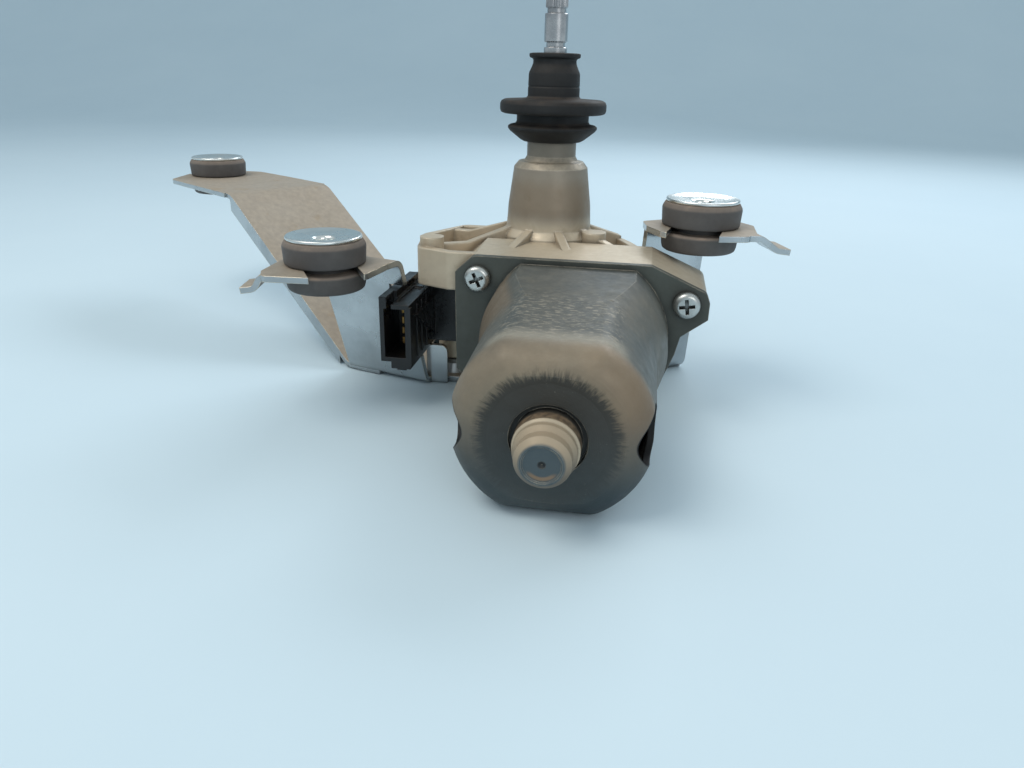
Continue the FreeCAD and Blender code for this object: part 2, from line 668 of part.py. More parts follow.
def make_bracket():
    """Pressed steel bracket: base plate, two leaning walls with forks, and the long arm."""
    t = sheet_t
    left = bent_wall(left_mount, left_bend_angle, left_wall_foot, left_wall_span, 9.0)
    right = bent_wall(right_mount, right_bend_angle, right_wall_foot, right_wall_span, 6.0)
    lx, rx, cx = left_mount[0], right_mount[0], conn_right
    base = prism([(lx - 6.0, -12.5), (cx - 1.1, -22.6), (cx + 1.2, -19.6), (motor_x + 9.0, -19.6),
                  (motor_x + 17.0, 1.0), (rx + 0.1, 17.4), (rx - 4.5, 30.0), (36.0, 60.0),
                  (-10.0, 72.0), (-56.0, 46.0), (-58.0, 20.0), (lx + 2.0, -6.0)], 0, t)
    # the long arm climbs from the base to the rear bushing's plate
    arm_dir = V(-0.81, 0.586, 0)
    arm_side = V(0.586, 0.81, 0)
    arm_low, arm_high = 53.5, 141.5
    rise = rear_mount[2] / (arm_high - arm_low)
    far = arm_high + 10
    mid = rounded_path([(arm_low - 14, t / 2), (arm_low, t / 2),
                        (arm_high, rear_mount[2] + t / 2), (far, rear_mount[2] + t / 2)], 12.0)
    arm = sheet_from(mid, arm_side * (-56.5), arm_side, arm_dir, 50.0)
    arm = arm.cut(prism([(-76.6, -14.2), (-40.0, -25.2), (-40.0, -60.0), (-90.0, -60.0)], -1, 6.0))
    x, y, z = rear_mount
    rear = prism([(-151.2, 38.7), (-120.7, 80.7), (-146.0, 98.0), (-170.0, 113.5), (-193.0, 113.5),
                  (-200.5, 100.0), (-197.0, 72.0)], z, z + t)
    rear = rounded(rear, [e for e in upright_edges(rear) if e.Vertexes[0].Point.x < -160], 6.0)
    slot_half = bushing_waist_r + free_gap
    rear = rear.cut(fuse_all([cyl(slot_half, z - 1, z + t + 1, x, y),
                              moved(block(0, 40, -slot_half, slot_half, -1, t + 1), x, y, z, 150)]))
    # stiffening lips turned down along the arm and the rear plate
    drop = 6.5
    p = [arm_dir * k + arm_side * (-56.5) for k in (arm_low + 6, arm_high)]
    zs = [t / 2 + rise * 6 + 1.0, z + 1.0]
    lip = extruded(Part.makePolygon([
        V(p[0].x, p[0].y, zs[0]), V(p[1].x, p[1].y, zs[1]),
        V(p[1].x, p[1].y, zs[1] - drop), V(p[0].x, p[0].y, max(0.2, zs[0] - drop)),
        V(p[0].x, p[0].y, zs[0])]), arm_side * t)
    a, b = V(-147.5, 36.0, z + 0.6), V(-197.0, 72.0, z + 0.6)
    along = (b - a).normalize()
    side = V(along.y, -along.x, 0)
    front_lip = extruded(Part.makePolygon([
        a, b, V(b.x, b.y, z - drop + 2), V(a.x, a.y, z - drop + 1), a]), side * -t)
    left_fork = fork_plate(left_mount, [
        (-13.2, 17.6), (-15.6, 4.0), (-15.2, -15.5), (-12.4, -21.6), (3.6, -20.4), (12.0, -16.0),
        (18.0, -11.0), (20.0, 2.0), (20.6, 7.4)], -58.0, slot_half)
    right_fork = fork_plate(right_mount, [
        (-19.9, 2.6), (-18.5, -6.0), (-14.0, -15.0), (-9.0, -19.0), (5.0, -19.2), (14.5, -17.0),
        (18.0, -11.5), (18.5, 4.0), (8.0, 20.0), (1.0, 18.0)], -101.0, slot_half)
    tails = [tail(left_mount, -13.4, -13.6, 190.0, 11.0, 6.6),
             tail(right_mount, 16.0, -8.5, 16.0, 13.0, 10.5)]
    tab = block(cx - 2.2, cx + 5.8, -21.6, -19.6, 0, 15.0)
    tops = [e for e in tab.Edges if abs(e.BoundBox.ZMin - 15.0) < 1e-3 and e.BoundBox.XLength < 1e-3]
    tab = rounded(tab, tops, 2.6)
    # the left wall leaves room for the connector
    left = left.cut(block(conn_left - 0.8, 0, -60, 0, conn_low - 3.0, conn_high + 0.8))
    bases = [left, right, base, arm, rear, lip, front_lip, left_fork, right_fork, tab] + tails
    plate = fuse_all(bases)
    for bx, by in bracket_bolts:
        plate = plate.cut(cyl(emboss_r, -1, t + 1, bx, by))
    cups = []
    for bx, by in bracket_bolts:
        cups.append(moved(turned([
            (bolt_r + 0.3, emboss_h), (emboss_r - t - 0.3, emboss_h), (emboss_r - 0.6, 0),
            (emboss_r + 0.6, 0), (emboss_r + 0.6, t), (emboss_r - 0.5, emboss_h + t),
            (bolt_r + 0.3, emboss_h + t)]), bx, by))
    plate = fuse_all([plate] + cups)
    for bx, by in cover_screws:
        plate = plate.cut(cyl(5.4, -1, t + 4, bx, by))
    return max(plate.Solids, key=lambda s: s.Volume)


def make_bushing(mount):
    """Rubber bushing with a waist that sits in the fork, and bevelled edges."""
    x, y, z = mount
    z0 = z - bushing_low
    z1 = z + sheet_t + bushing_top
    lo, hi = z - 0.1, z + sheet_t + 0.1
    shape = turned([
        (sleeve_r, z0), (bushing_r - 1.6, z0), (bushing_r - 0.5, z0 + 1.2), (bushing_r - 0.3, lo - 0.8),
        (bushing_r - 1.0, lo), (bushing_waist_r, lo), (bushing_waist_r, hi), (bushing_r - 0.8, hi),
        (bushing_r, hi + 0.8), (bushing_r, z1 - 1.8), (bushing_r - 1.5, z1), (sleeve_r, z1)])
    return moved(shape, x, y)


def make_sleeve(mount):
    """Steel sleeve with a dished washer head, inside the bushing."""
    x, y, z = mount
    z0 = z - bushing_low - 0.6
    z1 = z + sheet_t + bushing_top
    w = sleeve_washer_t
    shape = turned([
        (sleeve_bore_r, z0), (sleeve_r, z0), (sleeve_r, z1), (sleeve_washer_r, z1),
        (sleeve_washer_r, z1 + w - 0.3), (sleeve_washer_r - 0.4, z1 + w),
        (9.2, z1 + w), (8.2, z1 + w - 0.45), (sleeve_bore_r + 0.6, z1 + w - 0.45), (sleeve_bore_r, z1 + 0.4)])
    return moved(shape, x, y)


def make_seal():
    """Rubber seal that plugs the panel hole and wipes the shaft."""
    f_low = seal_flange_top_z - seal_flange_t
    inner = neck_r
    bore = out_r + running_gap
    return turned([
        (inner, seal_bottom_z), (inner + 1.6, seal_bottom_z), (seal_low_r, seal_low_z - 1.2),
        (seal_low_r, seal_low_z), (seal_groove_r, seal_low_z + 0.4), (seal_groove_r, f_low),
        (seal_flange_r - 0.6, f_low), (seal_flange_r, f_low + 0.8),
        (seal_flange_r, seal_flange_top_z - 1.6), (seal_flange_r - 1.0, seal_flange_top_z - 0.4),
        (seal_cap_r + 1.4, seal_flange_top_z), (seal_cap_r, seal_flange_top_z + 1.6),
        (seal_cap_r, seal_lip_z - 7.4), (seal_cap_r - 1.8, seal_lip_z - 3.6),
        (seal_cap_r - 1.9, seal_lip_z - 1.6), (seal_lip_r, seal_lip_z - 1.0),
        (seal_lip_r, seal_lip_z), (bore + 1.2, seal_lip_z - 0.2), (bore, seal_lip_z - 1.4),
        (bore, seal_lip_z - 2.6), (bore + 2.2, seal_lip_z - 4.6), (bore + 2.2, neck_z + 1.0),
        (inner, neck_z + 1.0)])


# Gears

def involute(angle):
    return math.tan(angle) - angle


def tooth_points(teeth, backlash):
    """Half-widths of a tooth, as (radius, half angle) from root to tip."""
    rp = module * teeth / 2
    rb = rp * math.cos(math.radians(flank_angle))
    tip = rp + addendum * module
    root = rp - dedendum * module
    half = math.pi / (2 * teeth) - backlash / (4 * rp) + involute(math.radians(flank_angle))
    out = [(root, half + 0.010 * 15 / teeth)]
    lowest = max(rb, root + 0.05)
    for k in range(5):
        r = lowest + (tip - lowest) * k / 4
        a = math.acos(min(1.0, rb / r))
        out.append((r, half - involute(a)))
    return out


def gear_outline(teeth, backlash, phase, count=None):
    """Points of a spur gear's outline; count limits how many teeth are cut."""
    profile = tooth_points(teeth, backlash)
    pitch = 2 * math.pi / teeth
    pts = []
    n = count or teeth
    for k in range(n):
        mid = phase + (k - (n - 1) / 2 if count else k) * pitch
        for r, a in profile:
            pts.append((r * math.cos(mid - a), r * math.sin(mid - a)))
        for r, a in reversed(profile):
            pts.append((r * math.cos(mid + a), r * math.sin(mid + a)))
    return pts


def spur(teeth, z0, z1, phase, backlash):
    return prism(gear_outline(teeth, backlash, phase), z0, z1)


def linkage():
    """Places of the link pin and the crank pin at park, and the angles that they sweep."""
    g = math.hypot(WHEEL.x, WHEEL.y)
    base = math.atan2(WHEEL.y, WHEEL.x)
    out = []
    for reach, sign in ((coupler_len + crank_r, 1), (coupler_len - crank_r, -1)):
        phi = math.acos((g * g + link_len ** 2 - reach ** 2) / (2 * g * link_len))
        q = V(link_len * math.cos(base + phi), link_len * math.sin(base + phi), 0)
        u = (q - WHEEL)
        u = u * (1 / u.Length)
        k = WHEEL + u * (sign * crank_r)
        gamma = math.atan2(k.y - q.y, k.x - q.x)
        out.append((phi, q, k, gamma))
    return out


parked, swept = linkage()
LINK_PIN = parked[1]
CRANK_PIN = parked[2]
link_turn = swept[0] - parked[0]
sector_turn = swept[3] - parked[3]
output_turn = link_turn * (1 + sector_r / pinion_r) - sector_turn * sector_r / pinion_r
mesh_angle = math.atan2(LINK_PIN.y, LINK_PIN.x)


def make_worm_shaft():
    """Armature shaft with the worm rolled on its end."""
    lead = math.pi * module * worm_starts
    mid = -wheel_y / math.cos(tilt)
    turns = 2 * worm_half_len / lead
    s0 = mid - lead / 2 - lead * math.floor(turns / 2)
    height = lead * math.floor(turns)
    root = shaft_r - 0.6
    half_root = lead / 4 - tooth_backlash / 2 + (worm_r - root) * math.tan(math.radians(flank_angle))
    half_tip = lead / 4 - tooth_backlash / 2 - (worm_tip_r - worm_r) * math.tan(math.radians(flank_angle))
    helix = Part.Wire(Part.makeHelix(lead, height, worm_r).Edges)
    pts = [V(root, 0, -half_root), V(worm_tip_r, 0, -half_tip), V(worm_tip_r, 0, half_tip),
           V(root, 0, half_root)]
    profile = Part.makePolygon(pts + [pts[0]])
    thread = helix.makePipeShell([profile], True, True)
    thread.translate(V(0, 0, s0))
    core = turned([
        (0, -(wheel_y + 20.5)), (2.2, -(wheel_y + 20.5)), (3.0, -(wheel_y + 19.8)),
        (3.0, -(wheel_y + 13.8)), (shaft_r, -(wheel_y + 13.2)), (shaft_r, can_face_s - 3.4),
        (3.0, can_face_s - 2.6), (3.0, nose_s - 4.6), (2.2, nose_s - 3.8), (0, nose_s - 3.8)])
    return on_motor(core.fuse(thread))


def make_worm_wheel():
    """Moulded wheel with slanted teeth, a web, a hub and a boss for the crank pin."""
    slant = math.atan(module * worm_starts / (2 * worm_r)) - tilt
    twist = wheel_t * math.tan(slant) / wheel_r
    wires = []
    for z, phase in ((wheel_z0, -twist / 2), (wheel_z0 + wheel_t, twist / 2)):
        space = math.pi / wheel_teeth
        pts = gear_outline(wheel_teeth, tooth_backlash, phase + space)
        ring_pts = [V(WHEEL.x + x, WHEEL.y + y, z) for x, y in pts]
        wires.append(Part.makePolygon(ring_pts + [ring_pts[0]]))
    body = Part.makeLoft(wires, True, True)
    z1 = wheel_z0 + wheel_t
    x, y = WHEEL.x, WHEEL.y
    body = body.cut(ring(wheel_r - 5.0, 12.6, wheel_z0 + wheel_t * 0.45, z1 + 1, x, y))
    body = body.cut(ring(wheel_r - 5.0, 14.0, wheel_z0 - 1, wheel_z0 + 2.0, x, y))
    body = body.cut(cyl(axle_r + running_gap, wheel_z0 - 3, z1 + 3, x, y))
    body = body.cut(cyl(pin_r, wheel_z0 - 1, wheel_z0 + 6.0, CRANK_PIN.x, CRANK_PIN.y))
    return body


def make_sector():
    """Sector gear with its pivot eye and its crank eye."""
    z0, z1 = gear_z0, gear_z0 + gear_t
    q, k = LINK_PIN, CRANK_PIN
    to_o = math.atan2(-q.y, -q.x)
    middle = to_o + link_turn / 2 - sector_turn / 2
    pitch = 2 * math.pi / sector_teeth
    steps = math.floor((middle - to_o) / pitch) + 0.5
    teeth = gear_outline(sector_teeth, gear_backlash, to_o + steps * pitch, 6)
    fan = [(0, 0)] + teeth
    toothed = moved(prism(fan, z0, z1), q.x, q.y)
    hub = cyl(6.2, z0, z1, q.x, q.y)
    eye = cyl(6.0, z0, z1, k.x, k.y)
    arm = hull([(q.x, q.y, 5.2), (k.x, k.y, 4.6)], z0 + 0.8, z1 - 0.4)
    body = fuse_all([toothed, hub, eye, arm])
    body = body.cut(cyl(pin_r + running_gap, z0 - 1, z1 + 1, q.x, q.y))
    return body.cut(cyl(pin_r + 0.15, z0 - 1, z1 + 1, k.x, k.y))


def make_link():
    """Holding link between the output shaft and the sector's pivot."""
    z1 = gear_z0 - link_gap
    z0 = z1 - link_t
    q = LINK_PIN
    body = fuse_all([cyl(7.6, z0, z1), cyl(6.2, z0, z1, q.x, q.y),
                     hull([(0, 0, 6.0), (q.x, q.y, 5.4)], z0, z1)])
    body = body.cut(cyl(out_journal_r + running_gap, z0 - 1, z1 + 1))
    return body.cut(cyl(pin_r, z0 - 1, z1 + 1, q.x, q.y))


def grooved_pin(r, z0, z1, groove_z, groove_t, depth, x, y):
    pin = cyl(r, z0, z1, x, y)
    ends = [e for e in pin.Edges if e.BoundBox.ZLength < 1e-6 and e.BoundBox.XLength > 1]
    pin = pin.makeChamfer(0.3, ends)
    return pin.cut(ring(r + 1, r - depth, groove_z, groove_z + groove_t, x, y))


def clip(r_in, r_out, z0, z1, x, y, open_angle):
    """Retaining clip: an open washer."""
    gap = moved(block(0, r_out + 2, -r_in * 0.7, r_in * 0.7, z0 - 1, z1 + 1), x, y, 0, open_angle)
    return ring(r_out, r_in, z0, z1, x, y).cut(gap)


def make_output_shaft():
    """Output shaft: journal, gear seat, running length, knurl and threaded end."""
    z_knurl = knurl_z + knurl_len
    body = turned([
        (0, out_low_z), (out_journal_r - 0.4, out_low_z), (out_journal_r, out_low_z + 0.4),
        (out_journal_r, gear_z0 - 0.2), (out_r, gear_z0 - 0.2), (out_r, seat_z - relief_w),
        (relief_r, seat_z - relief_w), (relief_r, seat_z), (out_r, seat_z),
        (out_r, seat_z + seat_len), (relief_r, seat_z + seat_len), (relief_r, knurl_z),
        (knurl_r, knurl_z), (knurl_r, z_knurl),
        (thread_r, z_knurl + 1.0), (thread_r, out_top_z - 0.8), (thread_r - 0.8, out_top_z),
        (0, out_top_z)])
    body = body.cut(ring(5, out_journal_r - 0.5, 8.9, 9.6))
    body = body.cut(ring(5, out_r - 0.45, neck_z - 0.95, neck_z + 0.05))
    cuts = []
    for k in range(knurl_teeth):
        a = 360.0 * k / knurl_teeth
        v = prism([(knurl_r - 0.28, 0), (knurl_r + 0.2, 0.34), (knurl_r + 0.2, -0.34)],
                  knurl_z, z_knurl + 1.5)
        cuts.append(moved(v, turn=a))
    return body.cut(Part.makeCompound(cuts))


def make_pinion():
    phase = mesh_angle + math.pi / pinion_teeth
    body = spur(pinion_teeth, gear_z0, gear_z0 + gear_t, phase, gear_backlash)
    return body.cut(cyl(out_r, gear_z0 - 1, gear_z0 + gear_t + 1))


# Motor inside

def make_core():
    """Laminated core with T-shaped slots."""
    s0, s1 = core_s
    body = cyl(core_r, s0, s1)
    cuts = []
    for k in range(core_slots):
        a = 360.0 * k / core_slots
        slot = block(core_r - 1.4, core_r + 2, -1.0, 1.0, s0 - 1, s1 + 1)
        well = prism([(core_r - 1.8, -core_r * 0.264), (core_r - 1.8, core_r * 0.264),
                      (core_root_r, core_r * 0.115), (core_root_r, -core_r * 0.115)], s0 - 1, s1 + 1)
        cuts.append(moved(slot.fuse(well), turn=a))
    body = body.cut(Part.makeCompound(cuts))
    return on_motor(body.cut(cyl(shaft_r, s0 - 1, s1 + 1)))


def make_windings():
    """Copper coils: one bundle in each slot, joined by the end turns."""
    s0, s1 = core_s
    wires = []
    for k in range(core_slots):
        a = 360.0 * k / core_slots
        bundle = prism([(core_r - 2.4, -core_r * 0.224), (core_r - 2.4, core_r * 0.224),
                        (core_root_r + 0.7, core_r * 0.092), (core_root_r + 0.7, -core_r * 0.092)],
                       s0 - 2.5, s1 + 2.5)
        wires.append(moved(bundle, turn=a))
    for lo, hi in ((s0 - 6.0, s0 - 0.3), (s1 + 0.3, s1 + 6.0)):
        end = turned([(shaft_r + 2.2, lo + 1.5), (shaft_r + 3.5, lo), (core_r - 3.4, lo),
                      (core_r - 1.8, lo + 1.6), (core_r - 1.8, hi - 1.0), (core_r - 3.0, hi),
                      (shaft_r + 3.2, hi), (shaft_r + 2.2, hi - 1.2)])
        wires.append(end)
    return on_motor(fuse_all(wires))


def make_commutator():
    s0, s1 = comm_s
    body = ring(comm_r, shaft_r, s0, s1)
    riser = ring(comm_r + 1.6, comm_r - 0.5, s1 - 2.0, s1)
    body = body.fuse(riser)
    cuts = []
    for k in range(comm_bars):
        cuts.append(moved(block(comm_r - 1.0, comm_r + 3, -0.25, 0.25, s0 - 1, s1 + 1),
                          turn=360.0 * k / comm_bars))
    return on_motor(body.cut(Part.makeCompound(cuts)))


def arc_plate(r_in, r_out, s0, s1, mid_angle, half_angle):
    """Curved plate about the motor axis, as the magnets are."""
    a0 = math.radians(mid_angle - half_angle)
    a1 = math.radians(mid_angle + half_angle)
    am = math.radians(mid_angle)

    def at(r, a):
        return V(r * math.cos(a), r * math.sin(a), s0)

    wire = Part.Wire([
        Part.Arc(at(r_out, a0), at(r_out, am), at(r_out, a1)).toShape(),
        Part.LineSegment(at(r_out, a1), at(r_in, a1)).toShape(),
        Part.Arc(at(r_in, a1), at(r_in, am), at(r_in, a0)).toShape(),
        Part.LineSegment(at(r_in, a0), at(r_out, a0)).toShape()])
    return extruded(wire, V(0, 0, s1 - s0))


def make_magnets():
    out = []
    for mid in (0, 180):
        out.append(on_motor(arc_plate(magnet_in_r, magnet_out_r, magnet_s[0], magnet_s[1],
                                      mid, magnet_half_angle)))
    return Part.makeCompound(out)


def make_magnet_clips():
    """Bow springs that push the magnets apart, above and below the core."""
    out = []
    inner = can_half_height - can_wall
    for mid in (90, 270):
        bow = arc_plate(inner - 1.6, inner - 0.8, magnet_s[0] + 2, magnet_s[1] - 2, mid, 24)
        out.append(on_motor(bow))
    return Part.makeCompound(out)


def make_brush_plate():
    """Moulded plate in the can's mouth, with the two brush boxes."""
    s0, s1 = brush_plate_s
    gap = free_gap
    plate = two_flat(can_base_r - can_wall - gap, can_base_r, can_half_height - can_wall - gap, s0, s1)
    plate = plate.cut(cyl(comm_r + 0.8, s0 - 1, s1 + 1))
    rim = two_flat(can_base_r - can_wall - gap, can_base_r, can_half_height - can_wall - gap, s1 - 0.2, s1 + 4)
    rim = rim.cut(two_flat(can_base_r - can_wall - 1.8, can_base_r, can_half_height - can_wall - 1.8,
                           s1 - 1, s1 + 5))
    boxes = []
    for turn in (0, 180):
        box = block(comm_r + 1.8, can_base_r - can_wall - 4.0, -4.4, 4.4, s1 - 0.2, s1 + 8.0)
        box = box.cut(block(comm_r, can_base_r, -3.1, 3.1, s1 + 0.9, s1 + 6.9))
        boxes.append(moved(box, turn=turn))
    return on_motor(fuse_all([plate, rim] + boxes))


def make_brushes():
    out = []
    s1 = brush_plate_s[1]
    for turn in (0, 180):
        brush = block(comm_r + 0.15, comm_r + brush_len, -2.9, 2.9, s1 + 1.1, s1 + 6.7)
        face = cyl(comm_r + 0.12, s1, s1 + 8)
        out.append(on_motor(moved(brush.cut(face), turn=turn)))
    return Part.makeCompound(out)


def make_brush_springs():
    """Coil springs behind the brushes, as stacked rings."""
    out = []
    s = brush_plate_s[1] + 3.9
    start = comm_r + brush_len + 0.1
    length = can_base_r - can_wall - 5.4 - start
    for turn in (0, 180):
        coils = []
        for k in range(5):
            x = start + length * (k + 0.4) / 5
            loop = Part.makeTorus(1.9, 0.4, V(x, 0, s), V(1, 0, 0))
            coils.append(loop)
        stem = Part.makeCylinder(0.45, length, V(start, 1.9, s), V(1, 0, 0))
        out.append(on_motor(moved(fuse_all(coils + [stem]), turn=turn)))
    return Part.makeCompound(out)


def make_chokes():
    """Two suppression chokes beside the brush boxes."""
    out = []
    s1 = brush_plate_s[1]
    for h in (14.5, -14.5):
        body = Part.makeCylinder(2.6, 12.0, V(-6.0, h, s1 + 3.2), V(1, 0, 0))
        rod = Part.makeCylinder(1.4, 15.0, V(-7.5, h, s1 + 3.2), V(1, 0, 0))
        foot = block(-1.5, 1.5, h - 1.5, h + 1.5, s1, s1 + 1.4)
        out.append(on_motor(fuse_all([body, rod, foot])))
    return Part.makeCompound(out)


def make_front_bearing():
    body = turned([(shaft_r + running_gap, front_back_s), (6.4, front_back_s), (7.0, front_back_s + 0.8),
                   (7.0, front_inner_s - 2), (shaft_r + running_gap, front_inner_s - 2)])
    return on_motor(body)


def make_nose_bearing():
    ball = turned([(3.0 + running_gap, can_face_s - 2.2), (5.6, can_face_s - 2.2), (6.7, can_face_s + 0.2),
                   (6.9, can_face_s + 1.4), (6.7, can_face_s + 2.6), (5.6, can_face_s + 4.6),
                   (3.0 + running_gap, can_face_s + 4.6)])
    return on_motor(ball)


def make_bearing_clip():
    """Spring washer that holds the nose bearing, pressed in the nose's mouth."""
    body = turned([(6.2, can_face_s - 4.0), (8.5, can_face_s - 5.0), (8.5, can_face_s - 4.4),
                   (6.9, can_face_s - 3.5), (6.2, can_face_s - 3.2)])
    cuts = []
    for k in range(6):
        cuts.append(moved(block(5.0, 7.6, -0.5, 0.5, can_face_s - 6, can_face_s), turn=60 * k))
    return on_motor(body.cut(Part.makeCompound(cuts)))


def make_worm_bush():
    body = ring(5.0, 3.0 + running_gap, -(wheel_y + 20.2), -(wheel_y + 14.6))
    return on_motor(body)


def make_thrust_screw():
    """Set screw that takes up the armature's end play."""
    s0, s1 = -(wheel_y + 28.0), -(wheel_y + 21.7)
    body = cyl(3.95, s0, s1)
    hexagon = [(2.2 * math.cos(math.radians(60 * k)), 2.2 * math.sin(math.radians(60 * k)))
               for k in range(6)]
    return on_motor(body.cut(prism(hexagon, s0 - 1, s0 + 3.0)))


def make_thrust_pad():
    return on_motor(cyl(3.6, -(wheel_y + 21.7), -(wheel_y + 20.8)))


# Electrical

def make_connector():
    """Stepped shroud with a deep mouth, and the base that enters the housing."""
    left, right, front, back = conn_left, conn_right, conn_front, conn_back
    shroud = block(left, right, front, back, conn_low, conn_high - conn_step)
    keyed = block(left, left + 3.6, front, back, conn_low + conn_step, conn_high)
    foot = block(left + 3.6, right, front, back, conn_low, conn_low + 3)
    corner = block(left - 1, left + 3.6, front - 1, back + 1, conn_low - 1, conn_low + conn_step)
    body = fuse_all([shroud, keyed, foot]).cut(corner)
    w = conn_wall
    mouth = block(left + w, right - w, front - 1, front + conn_mouth, conn_low + conn_step + w,
                  conn_high - conn_step - w)
    body = body.cut(mouth)
    slots = block(left + w + 1.0, left + w + 2.6, front - 1, front + conn_mouth, conn_low, conn_high + 1)
    body = body.cut(slots.common(block(left, right, front - 1, front + 9.0, conn_high - 6, conn_high + 1)))
    base = block(right - 1.0, motor_x - flange_left + 0.35, -22.2, -13.8, conn_low + 1.6, conn_high - 0.1)
    latch = block(left + 5.0, right - 2.0, front + 2.0, front + 8.0, conn_low - 1.2, conn_low + 0.2)
    gusset = extruded(Part.makePolygon([
        V(right - 1, -22.0, 20.0), V(right - 1, -46.0, 34.0), V(right - 1, -22.0, 34.0),
        V(right - 1, -22.0, 20.0)]), V(2.4, 0, 0))
    body = fuse_all([body, base, latch, gusset])
    for z in blade_heights():
        slot = block(left + w, 5, front + conn_mouth - 1, back + 20, z - blade_w / 2 - 0.05,
                     z + blade_w / 2 + 0.05)
        x = (left + right) / 2
        slot = slot.common(block(x - blade_t / 2 - 0.05, x + blade_t / 2 + 0.05, -80, 20, 0, 60))
        side = block(x - blade_t / 2 - 0.05, 0, -16.0 - blade_t / 2 - 0.05, -16.0 + blade_t / 2 + 0.05,
                     z - blade_w / 2 - 0.05, z + blade_w / 2 + 0.05)
        slot = slot.common(block(-80, 80, -80, -16.0 + blade_t / 2 + 0.05, 0, 60))
        body = body.cut(slot.fuse(side))
    return body


def blade_heights():
    low = conn_low + conn_step + conn_wall + 3.0
    high = conn_high - conn_step - conn_wall - 3.0
    return [low + (high - low) * k / 3 for k in range(4)]


def make_blades():
    """Four terminal blades, each bent once towards the housing."""
    out = []
    x = (conn_left + conn_right) / 2
    for z in blade_heights():
        z0, z1 = z - blade_w / 2, z + blade_w / 2
        run = block(x - blade_t / 2, x + blade_t / 2, conn_front + 10.0, -16.0 + blade_t / 2, z0, z1)
        side = block(x - blade_t / 2, motor_x - flange_left + 1.5, -16.0 - blade_t / 2,
                     -16.0 + blade_t / 2, z0, z1)
        out.append(run.fuse(side).removeSplitter())
    return Part.makeCompound(out)


contact_z0 = wheel_z0 + wheel_t


def make_contact_disc():
    """Brass disc on the wheel, with a gap that marks park."""
    disc = ring(16.5, 9.0, contact_z0, contact_z0 + 0.5, WHEEL.x, WHEEL.y)
    notch = arc_plate(13.0, 18.0, contact_z0 - 1, contact_z0 + 2, 200, 14)
    notch.translate(V(WHEEL.x, WHEEL.y, 0))
    spokes = ring(16.5, 12.7, contact_z0 - wheel_t * 0.54, contact_z0, WHEEL.x, WHEEL.y)
    wells = []
    for a in (20, 140, 260):
        arm = moved(block(9.0, 16.5, -1.4, 1.4, contact_z0 - wheel_t * 0.54, contact_z0 + 0.3),
                    WHEEL.x, WHEEL.y, 0, a)
        wells.append(arm.common(spokes))
    return fuse_all([disc.cut(notch)] + wells)


def make_contact_plate():
    """Insulating plate under the roof that carries the park contacts."""
    top = roof_z - roof_t
    plate = ring(21.0, 6.6, top - 1.0, top, WHEEL.x, WHEEL.y)
    return plate.cut(block(6.0, 60, -60, 90, 0, 60)).cut(cyl(8.2, 0, 60))


def make_contact_springs():
    """Three sprung fingers that press on the disc."""
    out = []
    top = roof_z - roof_t - 1.0
    for r, a in ((15.0, 150), (12.5, 190), (10.4, 230)):
        low = contact_z0 + 0.5 + 0.2
        leg = block(r - 0.9, r + 0.9, 4.0, 7.0, top - 0.5, top)
        blade = block(r - 0.9, r + 0.9, -4.0, 4.4, top - 0.5, top - 0.1)
        tip = block(r - 0.9, r + 0.9, -4.0, -3.0, low, top - 0.2)
        out.append(moved(fuse_all([leg, blade, tip]), WHEEL.x, WHEEL.y, 0, a))
    return Part.makeCompound(out)


